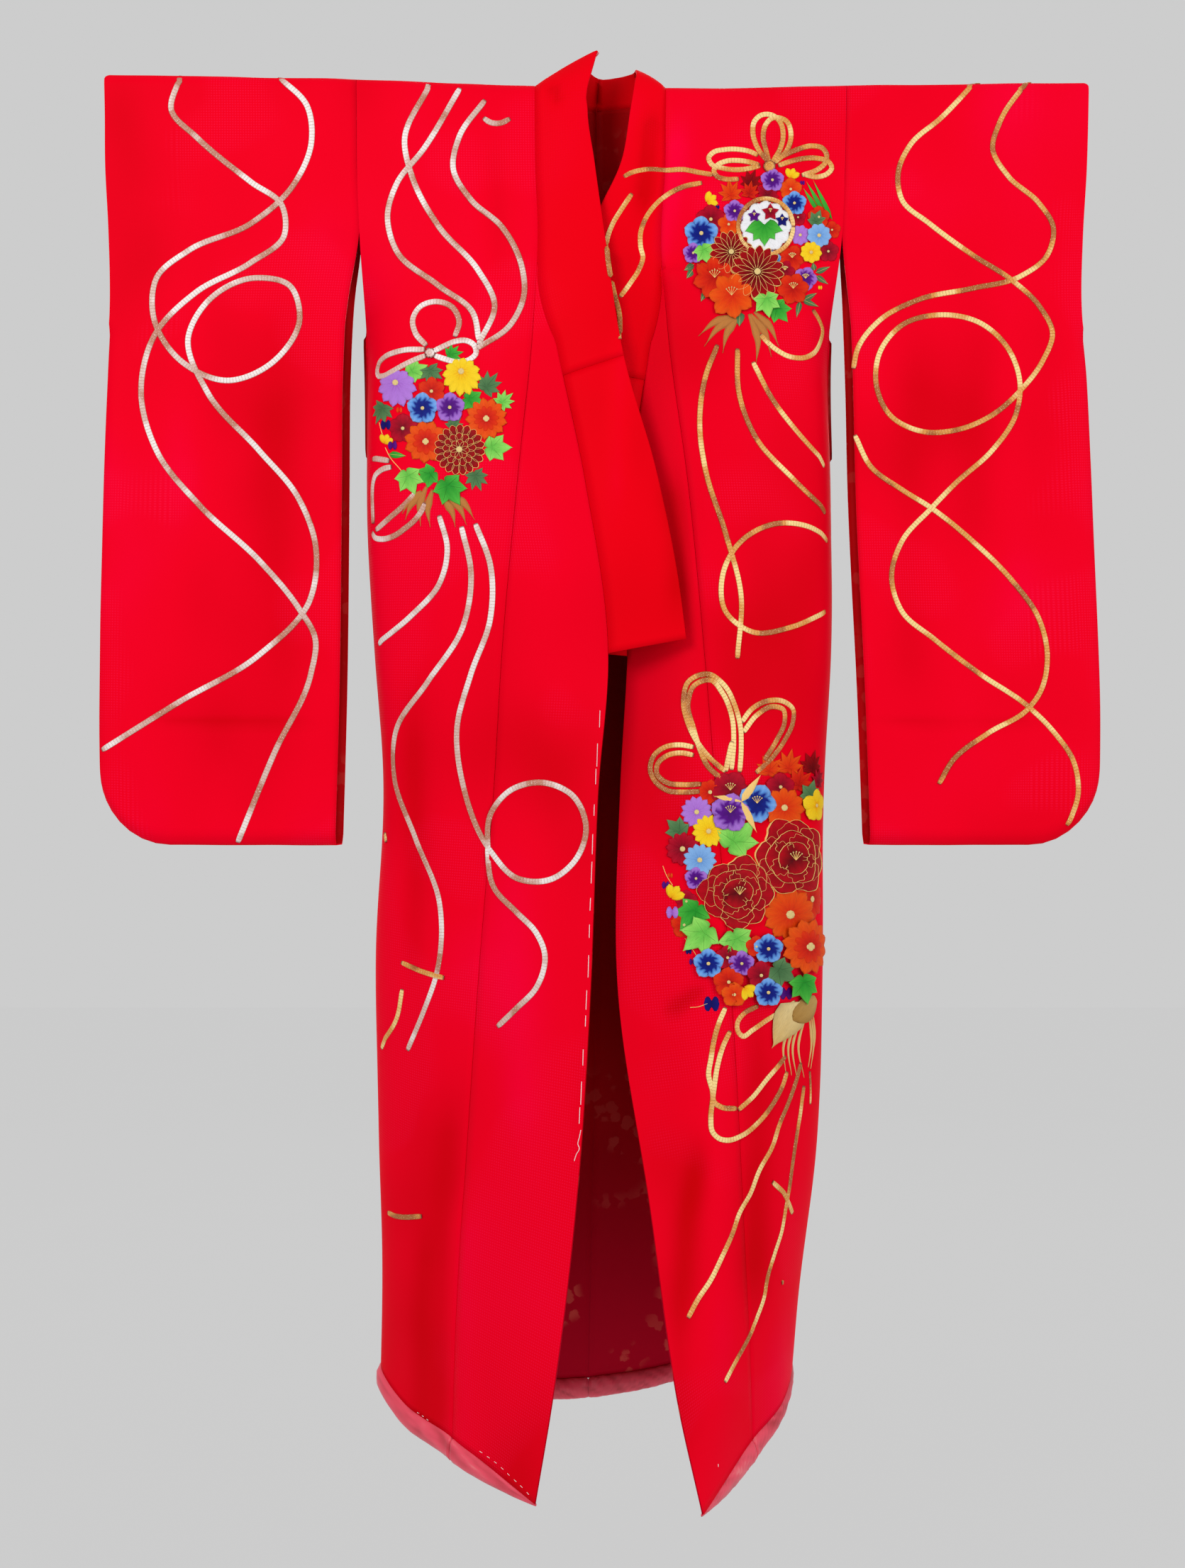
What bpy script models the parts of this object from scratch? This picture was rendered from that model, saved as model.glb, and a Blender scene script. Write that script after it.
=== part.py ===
"""Uchikake wedding kimono, hung from its shoulder line and filled out by its own cloth.

Metres, +Z up, the front looks along -Y, the wearer's right is at -X.  The origin is the middle
of the shoulder line, where the robe is held up.  Each piece that a maker cuts is a wall of
cloth: two body lengths that run over the shoulders, two overlap panels, the neckband with its
over-collar, two bag sleeves, their linings, and the padded rolls along the hem.

The body is described by level sections.  Each row of the tables below gives the plan of one
section, at a drop below the shoulder line, as a few named places; a smooth curve runs through
them.  "out" is the distance from the centre line towards that side.
"""
import math
from collections import namedtuple

import bmesh
import bpy
import numpy as np
from mathutils import Vector

# ---- driving sizes -------------------------------------------------------------------------
CLOTH = 0.0015            # wall of the outer silk with its interlining
BAND_CLOTH = 0.0030       # the neckband is folded, four layers
COLLAR_PROUD = 0.0008     # the over-collar stands this far off the band under it
LINING = 0.0010
LINING_DEPTH = 0.0020     # from the outer face of the silk to the lining
SEAM_GAP = 0.0003
SHOULDER_FOLD = 0.016     # radius of the fold along the shoulder line

SLEEVE_JOIN = 0.210       # the sleeve is sewn to the body down to here
OVERLAP_TOP = 0.2635      # point of the overlap panel
SIDE_SEAM_TOP = 0.340     # the side is open above this
COLLAR_END = 0.410        # lower ends of the over-collar
BAND_END = 0.775          # lower ends of the neckband
HEM = 1.800               # the level row that the hem is lifted or dropped from
OVERLAP_TIP = 0.0012      # width of the overlap panel at its point
HEM_SWING = 3             # how late, going down, the hem's lift sets in

SLEEVE_DROP = 1.034
SLEEVE_CORNER = 0.100     # radius of the outer lower corner
CUFF = 0.335              # length of the cuff opening
CUFF_CLOSE = 0.015        # where the sewn edge closes below the cuff
SLEEVE_HALF_GAP_IN = 0.016
SLEEVE_HALF_GAP_OUT = 0.011
SLEEVE_LINING_SHOWS = 0.007   # the sleeve's front edge stands back by this

PAD_THICKNESS = 0.60      # of its height
PAD_SET_BACK = 0.0035     # the roll's middle lies behind the outer face of the cloth
PAD_SIDES = 8

RISE_FADE = 0.90          # the shoulder line's rise fades out over this drop

# ---- rows down the body: from, to, steps ----------------------------------------------------
ROW_RUNS = (
    (0.0, 0.004, 1), (0.004, 0.015, 1), (0.015, 0.050, 1), (0.050, 0.120, 1),
    (0.120, SLEEVE_JOIN, 1), (SLEEVE_JOIN, OVERLAP_TOP, 1), (OVERLAP_TOP, SIDE_SEAM_TOP, 1),
    (SIDE_SEAM_TOP, COLLAR_END, 1), (COLLAR_END, BAND_END, 4), (BAND_END, HEM, 8),
)
BACK_NECK_ROW = 2         # the back neckline lies along this row

# ---- columns across ----------------------------------------------------------------------------
OVERLAP_STEPS = 2
PANEL_STEPS = 5           # neck or overlap seam to the side, front and back alike
NAPE_STEPS = 2            # neck point to the centre back
BAND_STEPS = 3

# height of the shoulder line above the origin, along the garment
ShoulderPoint = namedtuple("ShoulderPoint", "x rise")
SHOULDER_LINE = (
    ShoulderPoint(-0.680, 0.010), ShoulderPoint(-0.490, 0.007), ShoulderPoint(-0.360, 0.005),
    ShoulderPoint(-0.200, -0.002), ShoulderPoint(-0.087, -0.005), ShoulderPoint(0.105, -0.009),
    ShoulderPoint(0.180, -0.009), ShoulderPoint(0.260, -0.006), ShoulderPoint(0.330, -0.005),
    ShoulderPoint(0.500, -0.003), ShoulderPoint(0.680, -0.001),
)

# plan of the fronts: free edge, overlap seam, middle of the panel, turn of the hip, side seam
FrontSection = namedtuple("FrontSection", "drop edge edge_y seam seam_y mid mid_y turn turn_y side side_y")
FRONT = {
    "right": (
        FrontSection(0.000, 0.0830, -0.016, 0.0830, -0.016, 0.160, -0.016, 0.250, -0.016, 0.3240, -0.0160),
        FrontSection(0.050, 0.0826, -0.024, 0.0826, -0.024, 0.160, -0.022, 0.250, -0.019, 0.3235, -0.0160),
        FrontSection(0.120, 0.0816, -0.036, 0.0816, -0.036, 0.160, -0.031, 0.250, -0.023, 0.3230, -0.0165),
        FrontSection(0.210, 0.0780, -0.053, 0.0780, -0.053, 0.165, -0.044, 0.255, -0.029, 0.3195, -0.0175),
        FrontSection(0.340, 0.0580, -0.076, 0.0835, -0.075, 0.190, -0.062, 0.285, -0.030, 0.3125, 0.0030),
        FrontSection(0.550, 0.0150, -0.100, 0.1035, -0.098, 0.205, -0.080, 0.302, -0.030, 0.3110, 0.0280),
        FrontSection(0.775, -0.0150, -0.112, 0.1240, -0.094, 0.215, -0.066, 0.295, -0.015, 0.3010, 0.0500),
        FrontSection(0.950, -0.0020, -0.128, 0.1350, -0.085, 0.215, -0.052, 0.286, 0.000, 0.2870, 0.0660),
        FrontSection(1.200, 0.0085, -0.150, 0.1550, -0.082, 0.236, -0.040, 0.300, 0.020, 0.2940, 0.0850),
        FrontSection(1.450, 0.0260, -0.168, 0.1730, -0.080, 0.245, -0.030, 0.298, 0.032, 0.2860, 0.1020),
        FrontSection(1.700, 0.0600, -0.184, 0.1870, -0.080, 0.255, -0.020, 0.295, 0.045, 0.2780, 0.1180),
        FrontSection(1.800, 0.0790, -0.190, 0.1900, -0.080, 0.257, -0.012, 0.298, 0.055, 0.2770, 0.1250),
    ),
    "left": (
        FrontSection(0.000, 0.0935, -0.016, 0.0935, -0.016, 0.170, -0.016, 0.260, -0.016, 0.3370, -0.0160),
        FrontSection(0.050, 0.0930, -0.020, 0.0930, -0.020, 0.170, -0.020, 0.260, -0.019, 0.3365, -0.0160),
        FrontSection(0.120, 0.0915, -0.030, 0.0915, -0.030, 0.170, -0.029, 0.260, -0.023, 0.3350, -0.0165),
        FrontSection(0.210, 0.0855, -0.045, 0.0855, -0.045, 0.175, -0.042, 0.265, -0.029, 0.3310, -0.0175),
        FrontSection(0.340, 0.0735, -0.060, 0.0935, -0.066, 0.195, -0.062, 0.290, -0.032, 0.3160, 0.0030),
        FrontSection(0.550, 0.0450, -0.062, 0.1200, -0.085, 0.212, -0.078, 0.305, -0.030, 0.3190, 0.0280),
        FrontSection(0.775, 0.0410, -0.058, 0.1410, -0.096, 0.228, -0.076, 0.311, -0.018, 0.3180, 0.0480),
        FrontSection(0.950, 0.0310, -0.075, 0.1550, -0.105, 0.238, -0.072, 0.305, -0.006, 0.3080, 0.0620),
        FrontSection(1.200, 0.0275, -0.102, 0.1750, -0.101, 0.250, -0.055, 0.306, 0.010, 0.3030, 0.0800),
        FrontSection(1.450, 0.0670, -0.143, 0.1900, -0.095, 0.257, -0.040, 0.303, 0.028, 0.2910, 0.1000),
        FrontSection(1.700, 0.1090, -0.195, 0.2030, -0.090, 0.250, -0.028, 0.278, 0.044, 0.2650, 0.1200),
        FrontSection(1.800, 0.1340, -0.220, 0.2060, -0.081, 0.250, -0.020, 0.270, 0.050, 0.2570, 0.1300),
    ),
}

# plan of the back: side seam, quarter, under the neck point; the centre has its own table
BackSection = namedtuple("BackSection", "drop side side_y quarter quarter_y neck neck_y")
BACK = {
    "right": (
        BackSection(0.000, 0.3240, 0.0160, 0.200, 0.016, 0.083, 0.016),
        BackSection(0.050, 0.3235, 0.0160, 0.200, 0.022, 0.083, 0.030),
        BackSection(0.120, 0.3230, 0.0165, 0.200, 0.030, 0.083, 0.045),
        BackSection(0.210, 0.3195, 0.0175, 0.200, 0.038, 0.083, 0.056),
        BackSection(0.340, 0.3125, 0.0030, 0.200, 0.046, 0.083, 0.066),
        BackSection(0.550, 0.3110, 0.0280, 0.185, 0.066, 0.083, 0.078),
        BackSection(0.775, 0.3010, 0.0500, 0.175, 0.082, 0.083, 0.086),
        BackSection(0.950, 0.2870, 0.0660, 0.165, 0.094, 0.083, 0.094),
        BackSection(1.200, 0.2940, 0.0850, 0.160, 0.118, 0.080, 0.112),
        BackSection(1.450, 0.2860, 0.1020, 0.150, 0.138, 0.078, 0.128),
        BackSection(1.700, 0.2780, 0.1180, 0.145, 0.156, 0.072, 0.146),
        BackSection(1.800, 0.2770, 0.1250, 0.143, 0.162, 0.070, 0.152),
    ),
    "left": (
        BackSection(0.000, 0.3370, 0.0160, 0.210, 0.016, 0.0935, 0.016),
        BackSection(0.050, 0.3365, 0.0160, 0.210, 0.022, 0.0925, 0.030),
        BackSection(0.120, 0.3350, 0.0165, 0.210, 0.030, 0.0915, 0.045),
        BackSection(0.210, 0.3310, 0.0175, 0.205, 0.038, 0.0900, 0.056),
        BackSection(0.340, 0.3160, 0.0030, 0.200, 0.046, 0.0880, 0.066),
        BackSection(0.550, 0.3190, 0.0280, 0.190, 0.066, 0.0850, 0.078),
        BackSection(0.775, 0.3180, 0.0480, 0.180, 0.082, 0.0830, 0.086),
        BackSection(0.950, 0.3080, 0.0620, 0.170, 0.094, 0.0830, 0.094),
        BackSection(1.200, 0.3030, 0.0800, 0.165, 0.118, 0.0800, 0.112),
        BackSection(1.450, 0.2910, 0.1000, 0.155, 0.138, 0.0750, 0.128),
        BackSection(1.700, 0.2650, 0.1200, 0.145, 0.158, 0.0650, 0.148),
        BackSection(1.800, 0.2570, 0.1300, 0.140, 0.166, 0.0620, 0.155),
    ),
}

CentreBack = namedtuple("CentreBack", "drop x y")
CENTRE_BACK = (
    CentreBack(0.000, 0.0, 0.061), CentreBack(0.050, 0.0, 0.064), CentreBack(0.340, 0.0, 0.073),
    CentreBack(0.950, 0.0, 0.088), CentreBack(1.450, -0.004, 0.116), CentreBack(1.800, -0.0115, 0.140),
)

# how far below (+) or above (-) the level hem row the cloth ends, at the named places
HemSwing = namedtuple("HemSwing", "edge seam mid turn side quarter neck centre")
HEM_LINE = {
    "right": HemSwing(0.061, 0.012, -0.010, -0.046, -0.043, -0.016, 0.000, -0.005),
    "left": HemSwing(0.0635, 0.014, -0.016, -0.050, -0.050, -0.024, -0.011, -0.005),
}

# height of the padded roll at the named places of the hem
PadHeight = namedtuple("PadHeight", "edge seam side centre")
PAD_HEIGHTS = {
    "right": PadHeight(0.004, 0.031, 0.030, 0.028),
    "left": PadHeight(0.004, 0.031, 0.014, 0.028),
}

# free edge of the neckband, at the same drops as the neck seam that it is sewn to
BandEdge = namedtuple("BandEdge", "drop x y z")
BAND_EDGE = {
    "right": (
        BandEdge(0.000, 0.001, -0.010, 0.040), BandEdge(0.004, -0.004, -0.021, 0.018),
        BandEdge(0.015, -0.011, -0.030, -0.010), BandEdge(0.050, -0.012, -0.036, -0.048),
        BandEdge(0.120, -0.003, -0.046, -0.118), BandEdge(0.2635, 0.012, -0.073, -0.232),
        BandEdge(0.410, 0.0357, -0.093, -0.389), BandEdge(0.550, 0.0765, -0.106, -0.535),
        BandEdge(0.680, 0.105, -0.112, -0.672), BandEdge(0.775, 0.117, -0.113, -0.762),
    ),
    "left": (
        BandEdge(0.000, 0.053, 0.010, 0.0200), BandEdge(0.004, 0.054, -0.004, 0.012),
        BandEdge(0.015, 0.052, -0.017, -0.004), BandEdge(0.050, 0.046, -0.028, -0.042),
        BandEdge(0.120, 0.034, -0.038, -0.115), BandEdge(0.210, -0.002, -0.047, -0.198),
        BandEdge(0.2635, -0.012, -0.051, -0.242), BandEdge(0.410, -0.026, -0.056, -0.400),
        BandEdge(0.550, -0.045, -0.056, -0.550), BandEdge(0.680, -0.053, -0.053, -0.680),
        BandEdge(0.775, -0.060, -0.050, -0.772),
    ),
}

# free edge round the back of the neck, from the right shoulder to the left
NapeEdge = namedtuple("NapeEdge", "x y z")
NAPE_EDGE = (
    NapeEdge(0.003, 0.008, 0.044), NapeEdge(-0.004, 0.030, 0.043), NapeEdge(-0.012, 0.058, 0.036),
    NapeEdge(0.005, 0.073, 0.028), NapeEdge(0.030, 0.066, 0.028), NapeEdge(0.048, 0.044, 0.026),
    NapeEdge(0.052, 0.026, 0.023),
)
BAND_TURN = 0.060             # the band lies flat below this drop and stands up above it
BAND_SWELL_FRONT = 0.003      # how far the folded band bows off a flat strip
BAND_SWELL_NECK = {"right": -0.009, "left": 0.0}

# sleeves: the edge towards the body and the outer edge, by drop
SleeveEdge = namedtuple("SleeveEdge", "drop inner outer")
SLEEVE_EDGES = {
    "right": (
        SleeveEdge(0.000, 0.3240, 0.665), SleeveEdge(0.050, 0.3235, 0.664), SleeveEdge(0.120, 0.3230, 0.6635),
        SleeveEdge(0.210, 0.3195, 0.659), SleeveEdge(0.300, 0.3295, 0.657), SleeveEdge(0.400, 0.3345, 0.661),
        SleeveEdge(0.550, 0.3360, 0.667), SleeveEdge(0.840, 0.3395, 0.673), SleeveEdge(1.034, 0.3450, 0.671),
    ),
    "left": (
        SleeveEdge(0.000, 0.3370, 0.665), SleeveEdge(0.050, 0.3365, 0.664), SleeveEdge(0.120, 0.3350, 0.662),
        SleeveEdge(0.210, 0.3310, 0.657), SleeveEdge(0.300, 0.3350, 0.655), SleeveEdge(0.400, 0.3385, 0.663),
        SleeveEdge(0.550, 0.3420, 0.670), SleeveEdge(0.840, 0.3555, 0.682), SleeveEdge(1.034, 0.3625, 0.679),
    ),
}
SLEEVE_LOWER_ROWS = (0.52, 0.70, 0.87)      # below the cuff, before the bottom fold
SLEEVE_BOTTOM_ROWS = (0.015, 0.004)         # above the bottom fold
SLEEVE_FLAT_STEPS = 3                       # stations before the round corner
SLEEVE_CORNER_ANGLES = (0, 30, 60, 80, 90)  # degrees round the corner
SLEEVE_EDGE_NARROWING = 0.6                 # the gap at the last station before the sewn edge

# ---- finishes ----------------------------------------------------------------------------------
Finish = namedtuple("Finish", "colour roughness metallic")
SCARLET_SILK = Finish((0.86, 0.005, 0.028), 0.55, 0.0)
MADDER_LINING = Finish((0.16, 0.004, 0.006), 0.45, 0.0)
ROSE_SATIN = Finish((0.72, 0.045, 0.075), 0.40, 0.0)

SIDES = {"right": -1.0, "left": 1.0}


def rows_down(runs):
    """The drops of all rows, from the runs' ends and numbers of steps."""
    drops = [runs[0][0]]
    for start, end, steps in runs:
        for step in range(1, steps + 1):
            drops.append(start + (end - start) * step / steps)
    return drops


DROPS = rows_down(ROW_RUNS)


def row_at(drop):
    return int(np.argmin([abs(value - drop) for value in DROPS]))


LAST_ROW = len(DROPS) - 1
JOIN_ROW = row_at(SLEEVE_JOIN)
TIP_ROW = row_at(OVERLAP_TOP)
SIDE_ROW = row_at(SIDE_SEAM_TOP)
COLLAR_ROW = row_at(COLLAR_END)
BAND_ROW = row_at(BAND_END)
SEAM_COL = OVERLAP_STEPS
SIDE_COL = OVERLAP_STEPS + PANEL_STEPS
NECK_COL = PANEL_STEPS
CENTRE_COL = PANEL_STEPS + NAPE_STEPS


def smooth(knots, values, at):
    """Point on the cubic that runs through the values at the knots, with centred slopes."""
    knots = np.asarray(knots, dtype=float)
    values = np.asarray(values, dtype=float)
    spans = np.diff(knots)
    secants = np.diff(values, axis=0) / spans.reshape((-1,) + (1,) * (values.ndim - 1))
    slopes = np.empty_like(values)
    slopes[0] = secants[0]
    slopes[-1] = secants[-1]
    for i in range(1, len(knots) - 1):
        slopes[i] = (secants[i - 1] * spans[i] + secants[i] * spans[i - 1]) / (spans[i - 1] + spans[i])
    i = int(np.clip(np.searchsorted(knots, at) - 1, 0, len(spans) - 1))
    span = spans[i]
    t = (at - knots[i]) / span
    start = (2 * t ** 3 - 3 * t ** 2 + 1) * values[i] + (t ** 3 - 2 * t ** 2 + t) * span * slopes[i]
    end = (3 * t ** 2 - 2 * t ** 3) * values[i + 1] + (t ** 3 - t ** 2) * span * slopes[i + 1]
    return start + end


def from_table(table, drop):
    """The table's row at a drop."""
    row_kind = type(table[0])
    return row_kind(drop, *smooth([row.drop for row in table], [row[1:] for row in table], drop))


def shoulder_rise(x, drop):
    line = np.interp(x, [point.x for point in SHOULDER_LINE], [point.rise for point in SHOULDER_LINE])
    return line * max(0.0, 1 - drop / RISE_FADE)


def fold_share(drop):
    """How far from the middle plane the cloth has come at a drop, going over the shoulder."""
    if drop >= SHOULDER_FOLD:
        return 1.0
    return math.sqrt(1 - (1 - drop / SHOULDER_FOLD) ** 2)


def place(side, out, y, drop, swing):
    """A named place of one section, in space."""
    x = SIDES[side] * out
    z = shoulder_rise(x, drop) - drop - swing * (drop / HEM) ** HEM_SWING
    return np.array((x, y * fold_share(drop), z))


def along(points, stops, steps):
    """Evenly spaced points on the curve through the named places, between each pair of stops."""
    chords = [0.0]
    for a, b in zip(points, points[1:]):
        chords.append(chords[-1] + float(np.linalg.norm(b - a)))
    found = [smooth(chords, points, chords[stops[0]])]
    for first, last, count in zip(stops, stops[1:], steps):
        for step in range(1, count + 1):
            at = chords[first] + (chords[last] - chords[first]) * step / count
            found.append(smooth(chords, points, at))
    return found


def front_row(side, drop):
    """Points across a front at one drop: free edge, overlap seam, side."""
    swing = HEM_LINE[side]
    front = from_table(FRONT[side], drop)
    back = from_table(BACK[side], drop)
    panel = [
        place(side, front.seam, front.seam_y, drop, swing.seam),
        place(side, front.mid, front.mid_y, drop, swing.mid),
        place(side, front.turn, front.turn_y, drop, swing.turn),
        place(side, front.side, front.side_y, drop, swing.side),
        place(side, back.quarter, back.quarter_y, drop, swing.quarter),
    ]
    if drop < OVERLAP_TOP:
        return [panel[0]] * OVERLAP_STEPS + along(panel[:4], (0, 3), (PANEL_STEPS,))
    edge = min(front.edge, front.seam - OVERLAP_TIP)
    whole = [place(side, edge, front.edge_y, drop, swing.edge)] + panel
    if drop < SIDE_SEAM_TOP:
        whole = whole[:5]
    return along(whole, (0, 1, 4), (OVERLAP_STEPS, PANEL_STEPS))


def back_row(side, drop):
    """Points across a back at one drop: side, under the neck point, centre."""
    swing = HEM_LINE[side]
    back = from_table(BACK[side], drop)
    front = from_table(FRONT[side], drop)
    middle = from_table(CENTRE_BACK, drop)
    centre = place(side, SIDES[side] * middle.x, middle.y, drop, swing.centre)
    panel = [
        place(side, back.side, back.side_y, drop, swing.side),
        place(side, back.quarter, back.quarter_y, drop, swing.quarter),
        place(side, back.neck, back.neck_y, drop, swing.neck),
    ]
    if drop < DROPS[BACK_NECK_ROW]:
        return along(panel, (0, 2), (PANEL_STEPS,))
    if drop < SIDE_SEAM_TOP:
        return along(panel + [centre], (0, 2, 3), (PANEL_STEPS, NAPE_STEPS))
    turn = place(side, front.turn, front.turn_y, drop, swing.turn)
    return along([turn] + panel + [centre], (1, 3, 4), (PANEL_STEPS, NAPE_STEPS))


class Surface:
    """Sewn surface that pieces are cut from: its points, which seams share, and its faces."""

    def __init__(self):
        self.spots = []
        self.names = {}
        self.faces = {}
        self.normals = []

    def add(self, name, point):
        self.names[name] = len(self.spots)
        self.spots.append(Vector(point))

    def same(self, name, other):
        self.names[name] = self.names[other]

    def grid(self, piece, names):
        """Adds the faces of a net of names to a piece."""
        faces = self.faces.setdefault(piece, [])
        for upper, lower in zip(names, names[1:]):
            for i in range(len(upper) - 1):
                corners = [self.names[n] for n in (upper[i], upper[i + 1], lower[i + 1], lower[i])]
                loop = [c for k, c in enumerate(corners) if c != corners[k - 1]]
                if len(loop) > 2:
                    faces.append(loop)

    def settle(self, check, direction):
        """Points all faces the same way and takes each point's normal from the faces round it.

        The side that faces out is the one for which the point named check faces direction.
        """
        mesh = bmesh.new()
        verts = [mesh.verts.new(spot) for spot in self.spots]
        for faces in self.faces.values():
            for loop in faces:
                mesh.faces.new([verts[i] for i in loop])
        bmesh.ops.recalc_face_normals(mesh, faces=mesh.faces[:])
        mesh.normal_update()
        turned = verts[self.names[check]].normal.dot(direction) < 0
        if turned:
            bmesh.ops.reverse_faces(mesh, faces=mesh.faces[:])
            mesh.normal_update()
        self.normals = [vert.normal.copy() for vert in verts]
        mesh.free()

    def level_normals(self, names):
        """Makes the normals level at the named points, for an edge that rests on another piece."""
        for name in names:
            normal = self.normals[self.names[name]]
            normal.z = 0.0
            normal.normalize()


def inward_moves(faces, spots, normals):
    """How each point on a piece's rim moves to step back from its seam by half the gap."""
    owners = {}
    for loop in faces:
        for a, b in zip(loop, loop[1:] + loop[:1]):
            owners.setdefault(frozenset((a, b)), []).append(loop)
    turns = {}
    for pair, loops in owners.items():
        if len(loops) > 1:
            continue
        a, b = tuple(pair)
        middle = sum((spots[i] for i in loops[0]), Vector()) / len(loops[0])
        inward = (normals[a] + normals[b]).cross(spots[b] - spots[a]).normalized()
        if inward.dot(middle - spots[a]) < 0:
            inward.negate()
        turns.setdefault(a, []).append(inward)
        turns.setdefault(b, []).append(inward)
    moves = {}
    for i, (first, second) in turns.items():
        moves[i] = (first + second) * (SEAM_GAP / 2 / (1 + max(first.dot(second), -0.5)))
    return moves


def finish_of(name, finish):
    material = bpy.data.materials.get(name) or bpy.data.materials.new(name)
    material.use_nodes = True
    shader = material.node_tree.nodes["Principled BSDF"]
    shader.inputs["Base Color"].default_value = (*finish.colour, 1.0)
    shader.inputs["Roughness"].default_value = finish.roughness
    shader.inputs["Metallic"].default_value = finish.metallic
    material.diffuse_color = (*finish.colour, 1.0)
    return material


def keep_object(mesh, name, finish):
    """Turns a closed bmesh into the named object."""
    bmesh.ops.recalc_face_normals(mesh, faces=mesh.faces[:])
    bmesh.ops.triangulate(mesh, faces=mesh.faces[:])
    data = bpy.data.meshes.new(name)
    mesh.to_mesh(data)
    mesh.free()
    thing = bpy.data.objects.new(name, data)
    bpy.context.collection.objects.link(thing)
    data.materials.append(finish_of(name + "_finish", finish))
    data.shade_smooth()
    data.set_sharp_from_angle(angle=math.radians(50))
    return thing


def cloth_wall(name, surface, pieces, outer, inner, finish):
    """A closed wall of cloth over some of the surface's faces, between two depths below it."""
    faces = [loop for piece in pieces for loop in surface.faces[piece]]
    moves = inward_moves(faces, surface.spots, surface.normals)

    def at(i, depth):
        return surface.spots[i] + moves.get(i, Vector()) - surface.normals[i] * depth

    mesh = bmesh.new()
    spot_of = mesh.verts.layers.int.new("spot")
    verts = {}
    for loop in faces:
        for i in loop:
            if i not in verts:
                verts[i] = mesh.verts.new(at(i, inner))
                verts[i][spot_of] = i
    mesh.verts.ensure_lookup_table()
    for loop in faces:
        mesh.faces.new([verts[i] for i in loop])
    raised = bmesh.ops.extrude_face_region(mesh, geom=mesh.faces[:], use_keep_orig=True)["geom"]
    for vert in raised:
        if isinstance(vert, bmesh.types.BMVert):
            vert.co = at(vert[spot_of], outer)
    return keep_object(mesh, name, finish)


# ---- the sewn body ------------------------------------------------------------------------------
def front_name(side, row, col):
    return (side, "front", row, col)


def back_name(side, row, col):
    return (side, "back", row, col)


def name_fronts(surface, side):
    for row, drop in enumerate(DROPS):
        points = front_row(side, drop)
        for col in range(SEAM_COL if row < TIP_ROW else 0, SIDE_COL + 1):
            surface.add(front_name(side, row, col), points[col])
        for col in range(SEAM_COL if row < TIP_ROW else 0):
            surface.same(front_name(side, row, col), front_name(side, row, SEAM_COL))


def name_backs(surface, side):
    """Backs share the shoulder fold and the side seam with the fronts, and the centre seam."""
    for row, drop in enumerate(DROPS):
        points = back_row(side, drop)
        for col, point in enumerate(points):
            name = back_name(side, row, col)
            if row == 0:
                surface.same(name, front_name(side, 0, SIDE_COL - col))
            elif col == 0 and row >= SIDE_ROW:
                surface.same(name, front_name(side, row, SIDE_COL))
            elif col == CENTRE_COL and side == "left":
                surface.same(name, back_name("right", row, CENTRE_COL))
            else:
                surface.add(name, point)


def cut_body(surface, side):
    front_cols = range(SEAM_COL, SIDE_COL + 1)
    overlap_cols = range(SEAM_COL + 1)
    body = "body_" + side
    surface.grid(body, [[front_name(side, r, c) for c in front_cols] for r in range(LAST_ROW + 1)])
    surface.grid(body, [[back_name(side, r, c) for c in range(NECK_COL + 1)] for r in range(LAST_ROW + 1)])
    nape = range(NECK_COL, CENTRE_COL + 1)
    surface.grid(body, [[back_name(side, r, c) for c in nape] for r in range(BACK_NECK_ROW, LAST_ROW + 1)])
    lower_rows = range(TIP_ROW, LAST_ROW + 1)
    surface.grid("overlap_" + side, [[front_name(side, r, c) for c in overlap_cols] for r in lower_rows])


def neck_seam():
    """Names of the points along the neck seam, from the right band's lower end round to the left's."""
    right = [front_name("right", row, 0) for row in range(BAND_ROW, -1, -1)]
    nape = [back_name("right", row, NECK_COL) for row in range(1, BACK_NECK_ROW + 1)]
    nape += [back_name("right", BACK_NECK_ROW, col) for col in range(NECK_COL + 1, CENTRE_COL + 1)]
    nape += [back_name("left", BACK_NECK_ROW, col) for col in range(CENTRE_COL - 1, NECK_COL - 1, -1)]
    nape += [back_name("left", row, NECK_COL) for row in range(BACK_NECK_ROW - 1, 0, -1)]
    left = [front_name("left", row, 0) for row in range(BAND_ROW + 1)]
    return right, nape, left


def nape_edges(count):
    """The band's free edge behind the neck, one point for each point of the seam there."""
    points = [np.array(point) for point in NAPE_EDGE]
    knots = np.linspace(0.0, 1.0, len(points))
    return [smooth(knots, points, at) for at in np.linspace(0.0, 1.0, count)]


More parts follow.
